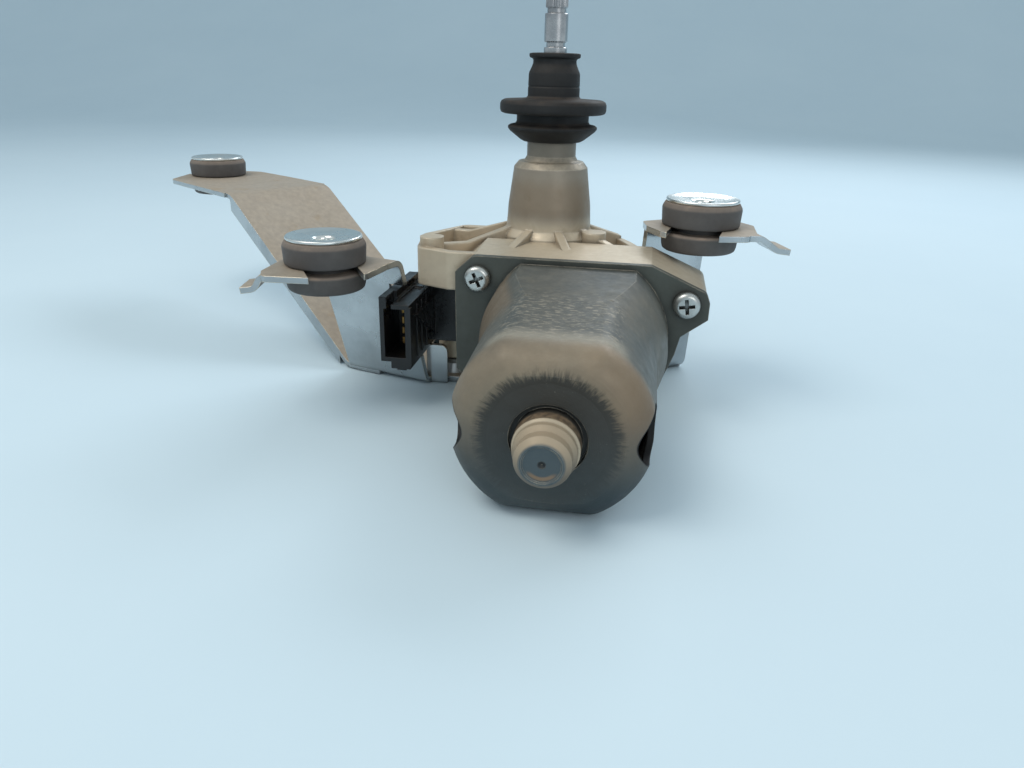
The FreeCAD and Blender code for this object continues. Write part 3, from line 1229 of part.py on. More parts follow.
def main():
    os.makedirs("parts", exist_ok=True)
    save("motor_can", make_motor_can())
    save("can_screws", make_can_screws())
    save("gear_housing", make_gear_housing())
    save("gear_cover", make_cover())
    save("cover_gasket", make_gasket())
    save("cover_screws", make_cover_screws())
    save("bracket_bolts", make_bracket_bolts())
    save("mounting_bracket", make_bracket())
    for name, mount in (("left", left_mount), ("right", right_mount), ("rear", rear_mount)):
        save("rubber_bushing_" + name, make_bushing(mount))
        save("bushing_sleeve_" + name, make_sleeve(mount))
    save("shaft_seal", make_seal())
    bore = out_r + running_gap
    save("lower_shaft_bush", ring(out_r + bush_wall, bore, gear_z0 + gear_t + 1.5, 35.8))
    save("upper_shaft_bush", ring(tower_bore_r, bore, neck_z - 16.8, neck_z - 1.0))
    save("brush_plate", make_brush_plate())
    save("carbon_brushes", make_brushes())
    save("brush_springs", make_brush_springs())
    save("choke_coils", make_chokes())
    save("connector_housing", make_connector())
    save("connector_blades", make_blades())
    save("front_bearing", make_front_bearing())
    save("nose_bearing", make_nose_bearing())
    save("bearing_clip", make_bearing_clip())
    save("worm_end_bush", make_worm_bush())
    save("thrust_screw", make_thrust_screw())
    save("thrust_pad", make_thrust_pad())
    save("magnets", make_magnets())
    save("magnet_clips", make_magnet_clips())
    save("wheel_axle", grooved_pin(axle_r, wheel_z0 - 2.2, roof_z - 1.0, wheel_z0 - 1.3, 0.9, 0.5,
                                   WHEEL.x, WHEEL.y))
    save("axle_clip", clip(axle_r - 0.45, 4.6, wheel_z0 - 1.25, wheel_z0 - 0.5, WHEEL.x, WHEEL.y, 300))
    save("contact_plate", make_contact_plate())
    save("contact_springs", make_contact_springs())
    save("armature_shaft", make_worm_shaft())
    save("armature_core", make_core())
    save("armature_windings", make_windings())
    save("commutator", make_commutator())
    save("worm_wheel", make_worm_wheel())
    save("contact_disc", make_contact_disc())
    save("crank_pin", cyl(pin_r, gear_z0 + gear_t + free_gap, wheel_z0 + 6.0, CRANK_PIN.x, CRANK_PIN.y))
    save("sector_gear", make_sector())
    save("holding_link", make_link())
    z_clip = gear_z0 + gear_t + 0.3
    save("link_pin", grooved_pin(pin_r, gear_z0 - link_gap - link_t, z_clip + 1.5, z_clip, 0.8, 0.5,
                                 LINK_PIN.x, LINK_PIN.y))
    save("link_clip", clip(pin_r - 0.45, 4.8, z_clip + 0.05, z_clip + 0.75, LINK_PIN.x, LINK_PIN.y, 200))
    save("output_shaft", make_output_shaft())
    save("output_pinion", make_pinion())
    save("shaft_circlip", clip(out_journal_r - 0.45, 6.0, 8.95, 9.55, 0, 0, 20))
    z_wash = gear_z0 + gear_t + 0.2
    save("thrust_washer", ring(7.0, bore, z_wash, z_wash + 1.0))
    save("shaft_ring", clip(out_r - 0.4, 6.2, neck_z - 0.9, neck_z, 0, 0, 250))
    print("link pin", round(LINK_PIN.x, 4), round(LINK_PIN.y, 4))
    print("crank pin", round(CRANK_PIN.x, 4), round(CRANK_PIN.y, 4))
    print("output turn", round(math.degrees(output_turn), 3))
    print("link ratio", round(link_turn / output_turn, 5))
    print("sector ratio", round((sector_turn - link_turn) / output_turn, 5))
    print("wheel", WHEEL, round(wheel_z0, 3))


main()
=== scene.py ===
# %% [markdown]
# # A used rear wiper motor
# The model of the motor comes in as a fixed frame. This script dresses it:
# some pieces keep their solid and get a finish, and others are modelled anew
# inside the same space. Everything is in metres, with the output shaft on Z.

import itertools
import json
import math

import bmesh
import bpy
from mathutils import Matrix, Vector


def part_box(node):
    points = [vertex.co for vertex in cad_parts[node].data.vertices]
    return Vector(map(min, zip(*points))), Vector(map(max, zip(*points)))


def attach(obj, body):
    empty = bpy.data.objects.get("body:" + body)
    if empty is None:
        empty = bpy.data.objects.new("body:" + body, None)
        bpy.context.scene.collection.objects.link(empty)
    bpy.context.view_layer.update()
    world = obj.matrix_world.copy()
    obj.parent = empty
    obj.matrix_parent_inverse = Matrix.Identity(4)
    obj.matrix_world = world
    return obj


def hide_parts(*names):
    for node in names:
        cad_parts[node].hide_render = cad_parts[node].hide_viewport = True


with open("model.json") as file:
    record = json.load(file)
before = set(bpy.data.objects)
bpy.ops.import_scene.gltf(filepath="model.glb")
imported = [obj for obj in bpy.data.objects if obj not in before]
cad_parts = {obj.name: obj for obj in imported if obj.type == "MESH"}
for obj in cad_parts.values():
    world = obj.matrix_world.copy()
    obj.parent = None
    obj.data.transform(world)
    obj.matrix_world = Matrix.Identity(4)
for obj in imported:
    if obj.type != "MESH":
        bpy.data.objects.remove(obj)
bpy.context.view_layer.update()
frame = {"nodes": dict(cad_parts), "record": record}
MM = 0.001

# %% [markdown]
# ## Camera, floor and lights
# The camera stands low in front of the can, where the photographer stood. A
# wide lens close by makes the can's nose large and the long arm small, so both
# the place and the lens matter. Large soft lamps above and behind give the
# bright rims that turned and pressed steel shows.

# %% Camera
scene = bpy.context.scene
CAMERA_PLACE = Vector((33.54, -291.41, 112.15)) * MM
YAW, PITCH, ROLL = (math.radians(a) for a in (8.961, 22.023, 1.351))
SENSOR_WIDTH, LENS_LENGTH = 36, 27.42  # millimetres
forward = Vector((-math.sin(YAW) * math.cos(PITCH), math.cos(YAW) * math.cos(PITCH),
                  -math.sin(PITCH)))
level = Vector((math.cos(YAW), math.sin(YAW), 0))
upward = level.cross(forward)
right = level * math.cos(ROLL) + upward * math.sin(ROLL)
top = upward * math.cos(ROLL) - level * math.sin(ROLL)
lens = bpy.data.cameras.new("camera")
lens.sensor_width = SENSOR_WIDTH
lens.lens = LENS_LENGTH
lens.clip_start = 0.01
camera = bpy.data.objects.new("camera", lens)
scene.collection.objects.link(camera)
camera.matrix_world = Matrix.Translation(CAMERA_PLACE) @ Matrix(
    (right, top, -forward)).transposed().to_4x4()
scene.camera = camera
scene.view_settings.view_transform = "Standard"
print("camera at", [round(v, 4) for v in CAMERA_PLACE])


# %% Node helpers
def tree_of(material):
    """An empty node tree, ready for a finish."""
    material.use_nodes = True
    tree = material.node_tree
    tree.nodes.clear()
    return tree


def node(tree, kind, **settings):
    """A node of the kind, with its properties and number inputs set by name."""
    made = tree.nodes.new("ShaderNode" + kind)
    for key, value in settings.items():
        if hasattr(made, key):
            setattr(made, key, value)
        else:
            made.inputs[key.replace("_", " ")].default_value = value
    return made


def wire(tree, source, target):
    tree.links.new(source, target)


def sums(tree, operation, *values):
    """Math on sockets or numbers; gives the result socket."""
    made = node(tree, "Math", operation=operation)
    for socket, value in zip(made.inputs, values):
        if isinstance(value, (int, float)):
            socket.default_value = value
        else:
            wire(tree, value, socket)
    return made.outputs[0]


def step(tree, value, low, high):
    """0 below low, 1 above high, smooth between; low above high turns it round."""
    made = node(tree, "MapRange", interpolation_type="SMOOTHSTEP")
    flip = low > high
    wire(tree, value, made.inputs["Value"])
    made.inputs["From Min"].default_value = min(low, high)
    made.inputs["From Max"].default_value = max(low, high)
    made.inputs["To Min"].default_value = 1.0 if flip else 0.0
    made.inputs["To Max"].default_value = 0.0 if flip else 1.0
    return made.outputs["Result"]


def fade(tree, value, start, stop):
    """A step whose two ends are places in millimetres."""
    return step(tree, value, start * MM, stop * MM)


def both(tree, *masks):
    """The product of several masks."""
    made = masks[0]
    for mask in masks[1:]:
        made = sums(tree, "MULTIPLY", made, mask)
    return made


def mixed(tree, factor, a, b):
    """Colour a, changing to colour b where factor is 1."""
    made = node(tree, "Mix", data_type="RGBA")
    sockets = [s for s in made.inputs if s.type == "RGBA"]
    if isinstance(factor, (int, float)):
        made.inputs[0].default_value = factor
    else:
        wire(tree, factor, made.inputs[0])
    for socket, value in zip(sockets, (a, b)):
        if isinstance(value, tuple):
            socket.default_value = value
        else:
            wire(tree, value, socket)
    return [s for s in made.outputs if s.type == "RGBA"][0]


def paint(r, g, b):
    """A screen colour of 0 to 255 as the light values that a shader takes."""
    return tuple(((v / 255 + 0.055) / 1.055) ** 2.4 if v > 10 else v / 255 / 12.92
                 for v in (r, g, b)) + (1.0,)


def tinted(tree, colour, mask, shade, strength=1.0):
    """The colour, painted over with a screen colour where the mask is 1."""
    if strength < 1.0:
        mask = sums(tree, "MULTIPLY", mask, strength)
    return mixed(tree, mask, colour, paint(*shade))


print("helpers ready")

# %% [markdown]
# ## Effects that several finishes share
# Dust settles on what faces up, painted shade and dirt darken corners, and edges get
# a painted highlight with some wear. Each effect is a node group with named inputs, built once.


# %% Effect groups
def new_group(name, inputs, outputs):
    """A shader group with number inputs (name, default) and typed outputs."""
    tree = bpy.data.node_groups.new(name, "ShaderNodeTree")
    for label, default in inputs:
        socket = tree.interface.new_socket(label, in_out="INPUT", socket_type="NodeSocketFloat")
        socket.default_value = default
    for label, kind in outputs:
        tree.interface.new_socket(label, in_out="OUTPUT", socket_type="NodeSocket" + kind)
    return tree, tree.nodes.new("NodeGroupInput"), tree.nodes.new("NodeGroupOutput")


def patchy_group():
    """Uneven patches of a given size: the base of dust, stains and wear."""
    tree, given, out = new_group("Patches", [("Scale", 60.0), ("Low", 0.4), ("High", 0.6)],
                                 [("Mask", "Float")])
    place = node(tree, "TexCoord")
    noise = node(tree, "TexNoise", Detail=6.0, Roughness=0.62)
    wire(tree, place.outputs["Object"], noise.inputs["Vector"])
    wire(tree, given.outputs["Scale"], noise.inputs["Scale"])
    ramp = node(tree, "MapRange")
    wire(tree, noise.outputs["Fac"], ramp.inputs["Value"])
    wire(tree, given.outputs["Low"], ramp.inputs["From Min"])
    wire(tree, given.outputs["High"], ramp.inputs["From Max"])
    wire(tree, ramp.outputs["Result"], out.inputs["Mask"])
    return tree


def dust_group():
    """Dust on what faces up, broken up by fine noise."""
    tree, given, out = new_group("Settled dust", [("Amount", 0.6), ("Scale", 180.0), ("Even", 0.3)],
                                 [("Mask", "Float")])
    facing = node(tree, "NewGeometry")
    split = node(tree, "SeparateXYZ")
    wire(tree, facing.outputs["Normal"], split.inputs[0])
    up = step(tree, split.outputs["Z"], 0.12, 0.72)
    place = node(tree, "TexCoord")
    noise = node(tree, "TexNoise", Detail=8.0, Roughness=0.7)
    wire(tree, place.outputs["Object"], noise.inputs["Vector"])
    wire(tree, given.outputs["Scale"], noise.inputs["Scale"])
    broken = step(tree, noise.outputs["Fac"], 0.36, 0.66)
    broken = sums(tree, "MAXIMUM", broken, given.outputs["Even"])
    amount = sums(tree, "MULTIPLY", sums(tree, "MULTIPLY", up, broken), given.outputs["Amount"])
    wire(tree, amount, out.inputs["Mask"])
    return tree


def corner_group():
    """Painted shade, with some dirt, where surfaces meet: it follows how much sky a point sees."""
    tree, given, out = new_group("Corner shade and dirt", [("Distance", 0.004), ("Amount", 0.8)],
                                 [("Mask", "Float")])
    sky = node(tree, "AmbientOcclusion", samples=6)
    wire(tree, given.outputs["Distance"], sky.inputs["Distance"])
    shut = step(tree, sky.outputs["AO"], 0.9, 0.35)
    wire(tree, sums(tree, "MULTIPLY", shut, given.outputs["Amount"]), out.inputs["Mask"])
    return tree


def rounded_group():
    """Normals softened over an edge, with a fine cast or blasted grain."""
    tree, given, out = new_group(
        "Rounded grain",
        [("Radius", 0.0006), ("Scale", 900.0), ("Depth", 0.00003), ("Strength", 0.5)],
        [("Normal", "Vector"), ("Edge", "Float")])
    soft = node(tree, "Bevel", samples=6)
    wire(tree, given.outputs["Radius"], soft.inputs["Radius"])
    place = node(tree, "TexCoord")
    noise = node(tree, "TexNoise", Detail=5.0, Roughness=0.6)
    wire(tree, place.outputs["Object"], noise.inputs["Vector"])
    wire(tree, given.outputs["Scale"], noise.inputs["Scale"])
    bump = node(tree, "Bump")
    wire(tree, noise.outputs["Fac"], bump.inputs["Height"])
    wire(tree, given.outputs["Depth"], bump.inputs["Distance"])
    wire(tree, given.outputs["Strength"], bump.inputs["Strength"])
    wire(tree, soft.outputs["Normal"], bump.inputs["Normal"])
    wire(tree, bump.outputs["Normal"], out.inputs["Normal"])
    flat = node(tree, "NewGeometry")
    dot = node(tree, "VectorMath", operation="DOT_PRODUCT")
    wire(tree, soft.outputs["Normal"], dot.inputs[0])
    wire(tree, flat.outputs["Normal"], dot.inputs[1])
    wire(tree, step(tree, dot.outputs["Value"], 0.995, 0.90), out.inputs["Edge"])
    return tree


GROUPS = {"patches": patchy_group(), "dust": dust_group(), "corners": corner_group(),
          "rounded": rounded_group()}


def effect(tree, name, output="Mask", **values):
    """Place a shared effect in a material with its own values."""
    made = tree.nodes.new("ShaderNodeGroup")
    made.node_tree = GROUPS[name]
    for key, value in values.items():
        made.inputs[key].default_value = value
    return made.outputs[output]


print("effects:", sorted(GROUPS))

# %% [markdown]
# ## Finishes
# Most finishes here differ in only a few values: a base colour with patches,
# dust on top, painted shade with some dirt in corners, an edge with a painted
# highlight and some wear, and a grain. One function makes them. The can and the housing need more
# and get cells of their own.


# %% One function for the everyday finishes
def finish(name, base, patch, metallic, rough, dusty=0.3, shade_and_dirt=0.6, edge=None, radius=0.4,
           grain=900.0, depth=0.02, patch_scale=70.0, even=0.3, dust_colour=(150, 134, 110)):
    """A finish in screen colours, with sizes in millimetres."""
    material = bpy.data.materials.new(name)
    tree = tree_of(material)
    shader = node(tree, "BsdfPrincipled", Metallic=metallic)
    out = node(tree, "OutputMaterial")
    wire(tree, shader.outputs[0], out.inputs[0])
    patches = effect(tree, "patches", Scale=patch_scale, Low=0.38, High=0.64)
    colour = mixed(tree, patches, paint(*base), paint(*patch))
    rounded = effect(tree, "rounded", "Normal", Radius=radius * MM, Scale=grain,
                     Depth=depth * MM, Strength=0.6)
    if edge:
        # painted highlight with some wear: the edge colour laid over rounded edges in patches
        edge_highlight_and_wear = sums(tree, "MULTIPLY", rounded.node.outputs["Edge"],
                      effect(tree, "patches", Scale=patch_scale * 3, Low=0.4, High=0.55))
        colour = mixed(tree, edge_highlight_and_wear, colour, paint(*edge))
    # painted shade with some dirt: a darker copy of the base colour where little sky reaches
    corners = effect(tree, "corners", Distance=2.5 * MM, Amount=shade_and_dirt)
    colour = mixed(tree, corners, colour, paint(*(v * 0.28 for v in base)))
    dust = effect(tree, "dust", Amount=dusty, Scale=patch_scale * 3, Even=even)
    shades = mixed(tree, effect(tree, "patches", Scale=420, Low=0.3, High=0.75),
                   paint(*dust_colour), paint(*(v * 0.86 for v in dust_colour)))
    colour = mixed(tree, dust, colour, shades)
    wire(tree, colour, shader.inputs["Base Color"])
    uneven = sums(tree, "MULTIPLY_ADD", patches, 0.16, rough)
    duller = sums(tree, "MULTIPLY_ADD", dust, 0.4, uneven)
    wire(tree, sums(tree, "MINIMUM", duller, 0.95), shader.inputs["Roughness"])
    if metallic > 0.3:
        bare = sums(tree, "MULTIPLY_ADD", dust, -metallic, metallic)
        wire(tree, bare, shader.inputs["Metallic"])
    wire(tree, rounded, shader.inputs["Normal"])
    return material


# The edge colours are painted edge highlights with some wear, and the corner amounts set a painted
# shade with some dirt.
FINISHES = {
    "zinc_fastener": finish("bright fastener", (214, 214, 208), (176, 178, 176), 0.95, 0.2,
                            dusty=0.1, shade_and_dirt=0.95, edge=(244, 242, 236), radius=0.25,
                            grain=2500, depth=0.003),
    "bright_washer": finish("bright zinc", (232, 234, 230), (212, 214, 212), 1.0, 0.2, dusty=0.05,
                            shade_and_dirt=0.4, edge=(245, 245, 243), radius=0.2, grain=1500, depth=0.0015),
    "zinc_sheet": finish("zinc sheet", (196, 200, 202), (168, 172, 174), 0.95, 0.2, dusty=0.97,
                         shade_and_dirt=0.6, edge=(240, 226, 200), radius=0.45, grain=700, depth=0.004,
                         patch_scale=30, even=0.88, dust_colour=(166, 149, 127)),
    "cover_steel": finish("cover steel", (142, 140, 134), (112, 110, 104), 0.85, 0.34, dusty=0.2),
    "rubber_grey": finish("aged rubber", (88, 84, 81), (78, 74, 72), 0.0, 0.6, dusty=0.9, shade_and_dirt=0.3,
                          edge=(140, 126, 114), radius=0.45, grain=1400, depth=0.02, even=0.6,
                          dust_colour=(160, 142, 126)),
    "rubber_black": finish("seal rubber", (21, 19, 18), (14, 13, 13), 0.0, 0.62, dusty=0.36,
                           shade_and_dirt=0.8, edge=(56, 50, 45), radius=0.4, grain=1300, depth=0.02,
                           dust_colour=(96, 80, 66)),
    "polished_steel": finish("ground steel", (196, 196, 196), (156, 156, 158), 1.0, 0.18, dusty=0.1,
                             shade_and_dirt=0.5, radius=0.2, grain=3000, depth=0.002, patch_scale=120),
    "black_plastic": finish("black plastic", (15, 15, 17), (10, 10, 11), 0.0, 0.24, dusty=0.12,
                            shade_and_dirt=0.6, edge=(46, 46, 48), radius=0.35, grain=1800, depth=0.004,
                            dust_colour=(74, 64, 54)),
    "plate_plastic": finish("brown plastic", (58, 50, 42), (44, 38, 33), 0.0, 0.55, dusty=0.1),
    "gear_plastic": finish("white gear plastic", (216, 210, 192), (196, 186, 160), 0.0, 0.42,
                           dusty=0.0, shade_and_dirt=0.5, grain=1200),
    "gasket_paper": finish("gasket", (62, 56, 48), (48, 44, 38), 0.0, 0.8, dusty=0.1),
    "bronze": finish("sintered bronze", (168, 122, 72), (134, 94, 54), 0.9, 0.42, dusty=0.0,
                     grain=4000, depth=0.02),
    "contact_brass": finish("contact brass", (168, 134, 80), (138, 104, 62), 1.0, 0.3, dusty=0.05,
                            shade_and_dirt=0.9),
    "copper": finish("copper", (188, 108, 66), (142, 74, 44), 1.0, 0.3, dusty=0.05, grain=1800,
                     depth=0.08),
    "carbon": finish("carbon", (40, 40, 42), (28, 28, 30), 0.1, 0.5, dusty=0.0),
    "ferrite": finish("ferrite", (58, 58, 62), (44, 44, 48), 0.1, 0.6, dusty=0.0, grain=2500),
    "core_steel": finish("laminated steel", (112, 112, 116), (84, 84, 88), 0.9, 0.38, dusty=0.0,
                         grain=1600),
}
print("finishes:", len(FINISHES))

# %% [markdown]
# ## The can
# The can is drawn from plated sheet, and years of road dust have baked on it.
# Its top is wrinkled where the coating lifted, its face has rings from the
# drawing tool with a dark oily ring round the nose, and the nose is beige with
# a blue-grey end. A Mapping node puts the pattern in the motor's own axes, so
# one material can tell the flange, the face and the nose apart.

# %% Can material
MOTOR_PLACE = Vector((15.0, 0.0, 30.111)) * MM
MOTOR_TURN = math.radians(93.0)
# Where each zone of the can starts to show and where it shows in full, in
# millimetres along the motor's axis.
ON_FLANGE, ON_FRONT, ON_FACE = (41.6, 40.2), (102, 108), (108, 111)
ON_NOSE, ON_TAPER, ON_END = (113.6, 114.6), (117.2, 118.2), (124.1, 124.5)
WINDOW_PLACE, WINDOW_EDGE = 104.6, (8.5, 8.3)


def distance(tree, a, b):
    """How far a point is from an axis, from its two distances across."""
    return sums(tree, "SQRT", sums(tree, "ADD", both(tree, a, a), both(tree, b, b)))


def motor_axes(tree):
    """Sockets for sideways, upward and along-the-axis distance, and the radius."""
    place = node(tree, "TexCoord")
    turn = node(tree, "Mapping", vector_type="TEXTURE")
    turn.inputs["Location"].default_value = MOTOR_PLACE
    turn.inputs["Rotation"].default_value = (MOTOR_TURN, 0, 0)
    wire(tree, place.outputs["Object"], turn.inputs["Vector"])
    split = node(tree, "SeparateXYZ")
    wire(tree, turn.outputs[0], split.inputs[0])
    x, h, s = split.outputs
    return turn.outputs[0], x, h, s, distance(tree, x, h)


def noise_on(tree, vector, scale, detail=6.0, rough=0.6):
    made = node(tree, "TexNoise", Scale=scale, Detail=detail, Roughness=rough)
    wire(tree, vector, made.inputs["Vector"])
    return made.outputs["Fac"]


def stretched(tree, vector, scale, along, detail=6.0, rough=0.6):
    """Noise drawn out along an axis by small values in along."""
    place = node(tree, "Mapping")
    place.inputs["Scale"].default_value = along
    wire(tree, vector, place.inputs["Vector"])
    return noise_on(tree, place.outputs[0], scale, detail, rough)


def can_colours(tree, x, h, s, radius, wrinkle_highlight, streak):
    """Base colour of the can: sides, top flat, front, oily ring, nose and flange."""
    broad = effect(tree, "patches", Scale=34, Low=0.36, High=0.66)
    fine = effect(tree, "patches", Scale=260, Low=0.35, High=0.7)
    speck = effect(tree, "patches", Scale=1500, Low=0.66, High=0.76)
    up = fade(tree, h, -16, 15)
    # sides: grey, brown on the left and near the flange
    colour = mixed(tree, broad, paint(84, 88, 86), paint(106, 101, 90))
    brown = both(tree, fade(tree, x, 4, -18), fade(tree, s, 84, 62), up)
    colour = tinted(tree, colour, brown, (116, 100, 82), 0.8)
    # top flat: dark and bluish, with a painted highlight on the wrinkle ridges and a band of
    # painted highlight along its front edge
    flat = both(tree, fade(tree, h, 20.5, 23.4), fade(tree, s, 107, 103))
    colour = mixed(tree, flat, colour, mixed(tree, broad, paint(68, 74, 74), paint(90, 90, 84)))
    colour = tinted(tree, colour, both(tree, flat, wrinkle_highlight), (150, 142, 127), 0.8)
    pale = both(tree, fade(tree, h, 19, 22.5), fade(tree, s, 95, 103), fade(tree, s, 110, 105))
    colour = tinted(tree, colour, pale, (158, 150, 134), 0.7)
    # front rounding and face: light brown above and darker blue-grey below, painted light on the
    # upper part and painted shade toward the bottom
    front = fade(tree, s, *ON_FRONT)
    below = mixed(tree, broad, paint(50, 60, 64), paint(66, 73, 74))
    above = mixed(tree, broad, paint(139, 124, 103), paint(112, 101, 86))
    side = both(tree, fade(tree, x, 4, 24), fade(tree, h, -4, 8))
    above = tinted(tree, above, side, (130, 106, 82), 0.6)
    colour = mixed(tree, front, colour, mixed(tree, up, below, above))
    # dark oily ring round the nose, its outer edge drawn out in short streaks
    reach = sums(tree, "MULTIPLY_ADD", streak, 1.8 * MM, radius)
    oily = both(tree, fade(tree, reach, 21.4, 18.0), fade(tree, s, *ON_FACE))
    dark = mixed(tree, up, paint(58, 63, 63), paint(40, 40, 38))
    colour = mixed(tree, sums(tree, "MULTIPLY", oily, 0.88), colour, dark)
    colour = tinted(tree, colour, both(tree, front, speck), (128, 124, 114), 0.6)
    # nose: brown root with specks, beige taper that is lighter on top and darker below as painted
    # light and shade, blue-grey end with a tan crescent
    nose = both(tree, fade(tree, s, *ON_NOSE), fade(tree, radius, 10.1, 9.6))
    root = mixed(tree, effect(tree, "patches", Scale=700, Low=0.45, High=0.6), paint(126, 106, 84),
                 paint(92, 78, 64))
    taper = mixed(tree, fade(tree, h, -5, 5), paint(108, 98, 86), paint(168, 150, 126))
    skin = mixed(tree, fade(tree, s, *ON_TAPER), root, taper)
    ring = both(tree, fade(tree, s, 117.0, 117.6), fade(tree, s, 118.9, 118.3))
    skin = tinted(tree, skin, ring, (186, 170, 146))
    end = both(tree, fade(tree, s, *ON_END), fade(tree, radius, 6.2, 5.5))
    skin = tinted(tree, skin, end, (72, 82, 86))
    crescent = both(tree, end, fade(tree, radius, 3.1, 3.7), fade(tree, radius, 4.7, 4.1),
                    fade(tree, h, -1.6, -3.4))
    skin = tinted(tree, skin, crescent, (150, 120, 90), 0.7)
    dot = both(tree, end, fade(tree, radius, 1.3, 0.8))
    skin = tinted(tree, skin, dot, (30, 34, 36))
    colour = mixed(tree, nose, colour, skin)
    # flange
    plate = mixed(tree, broad, paint(84, 88, 82), paint(68, 70, 65))
    return mixed(tree, fade(tree, s, *ON_FLANGE), colour, plate), fine


def can_material():
    material = bpy.data.materials.new("dusty can")
    tree = tree_of(material)
    shader = node(tree, "BsdfPrincipled")
    wire(tree, shader.outputs[0], node(tree, "OutputMaterial").inputs[0])
    vector, x, h, s, radius = motor_axes(tree)
    # noise on a circle and the radius: streaks that run out from the nose
    angle = sums(tree, "ARCTAN2", h, x)
    polar = node(tree, "CombineXYZ")
    wire(tree, sums(tree, "COSINE", angle), polar.inputs[0])
    wire(tree, sums(tree, "SINE", angle), polar.inputs[1])
    wire(tree, sums(tree, "MULTIPLY", radius, 9.0), polar.inputs[2])
    streak = step(tree, noise_on(tree, polar.outputs[0], 26.0, 4.0, 0.75), 0.36, 0.64)
    # a coating that lifted in short wrinkles across the top flat
    crossed = stretched(tree, vector, 900.0, (0.42, 1.0, 1.0), 5.0, 0.65)
    zone = both(tree, fade(tree, s, 58, 80), fade(tree, h, 19, 23), fade(tree, s, 108, 104))
    zone = both(tree, zone, sums(tree, "MAXIMUM", fade(tree, s, 84, 98),
                                 step(tree, noise_on(tree, vector, 60.0), 0.4, 0.56)))
    # ridges of the lifted coating, which get a painted highlight on the top flat
    wrinkle_highlight = both(tree, step(tree, crossed, 0.5, 0.62), zone)
    colour, fine = can_colours(tree, x, h, s, radius, wrinkle_highlight, streak)
    dust = effect(tree, "dust", Amount=0.16, Scale=300)
    colour = tinted(tree, colour, dust, (150, 140, 120))
    # painted shade with some dirt: near-black where little sky reaches
    corners = effect(tree, "corners", Distance=3.0 * MM, Amount=0.8)
    colour = tinted(tree, colour, corners, (30, 28, 26))
    # painted highlight with some wear on the rounded edges, in patches
    soft = node(tree, "Bevel", samples=6, Radius=0.5 * MM)
    edge = node(tree, "VectorMath", operation="DOT_PRODUCT")
    flat = node(tree, "NewGeometry")
    wire(tree, soft.outputs[0], edge.inputs[0])
    wire(tree, flat.outputs["Normal"], edge.inputs[1])
    edge_highlight_and_wear = sums(tree, "MULTIPLY", step(tree, edge.outputs["Value"], 0.992, 0.9), fine)
    colour = tinted(tree, colour, edge_highlight_and_wear, (186, 176, 156), 0.8)
    # the punched windows are painted near-black, a painted shade for their dark insides
    along = sums(tree, "SUBTRACT", s, WINDOW_PLACE * MM)
    away = distance(tree, along, h)
    window = both(tree, fade(tree, away, *WINDOW_EDGE),
                  fade(tree, sums(tree, "ABSOLUTE", x), 10, 14))
    colour = tinted(tree, colour, window, (12, 12, 12))
    wire(tree, colour, shader.inputs["Base Color"])
    wire(tree, sums(tree, "MULTIPLY_ADD", fine, 0.18, 0.46), shader.inputs["Roughness"])
    wire(tree, sums(tree, "MULTIPLY_ADD", dust, -0.5, 0.22), shader.inputs["Metallic"])
    grain = sums(tree, "MULTIPLY", noise_on(tree, vector, 1400.0), 0.2)
    turned = node(tree, "CombineXYZ")
    wire(tree, radius, turned.inputs[0])
    rings = both(tree, noise_on(tree, turned.outputs[0], 1100.0, 3.0, 0.5),
                 fade(tree, s, 108, 112))
    height = sums(tree, "ADD", grain, sums(tree, "MULTIPLY", both(tree, crossed, zone), 1.3))
    height = sums(tree, "ADD", height, sums(tree, "MULTIPLY", rings, 0.35))
    bump = node(tree, "Bump", Strength=0.8, Distance=0.22 * MM)
    wire(tree, height, bump.inputs["Height"])
    wire(tree, soft.outputs[0], bump.inputs["Normal"])
    wire(tree, bump.outputs[0], shader.inputs["Normal"])
    return material


FINISHES["can_steel"] = can_material()
print("can finish made")

# %% [markdown]
# ## The die-cast housing
# Die-cast aluminium looks like matt stone: a warm grey-beige skin with flow
# marks, darker stains near screws, and painted shade with some dirt between the
# ribs. Its edges are rounded by the mould, which a Bevel node shows without heavy
# geometry, and carry a painted highlight with some wear.


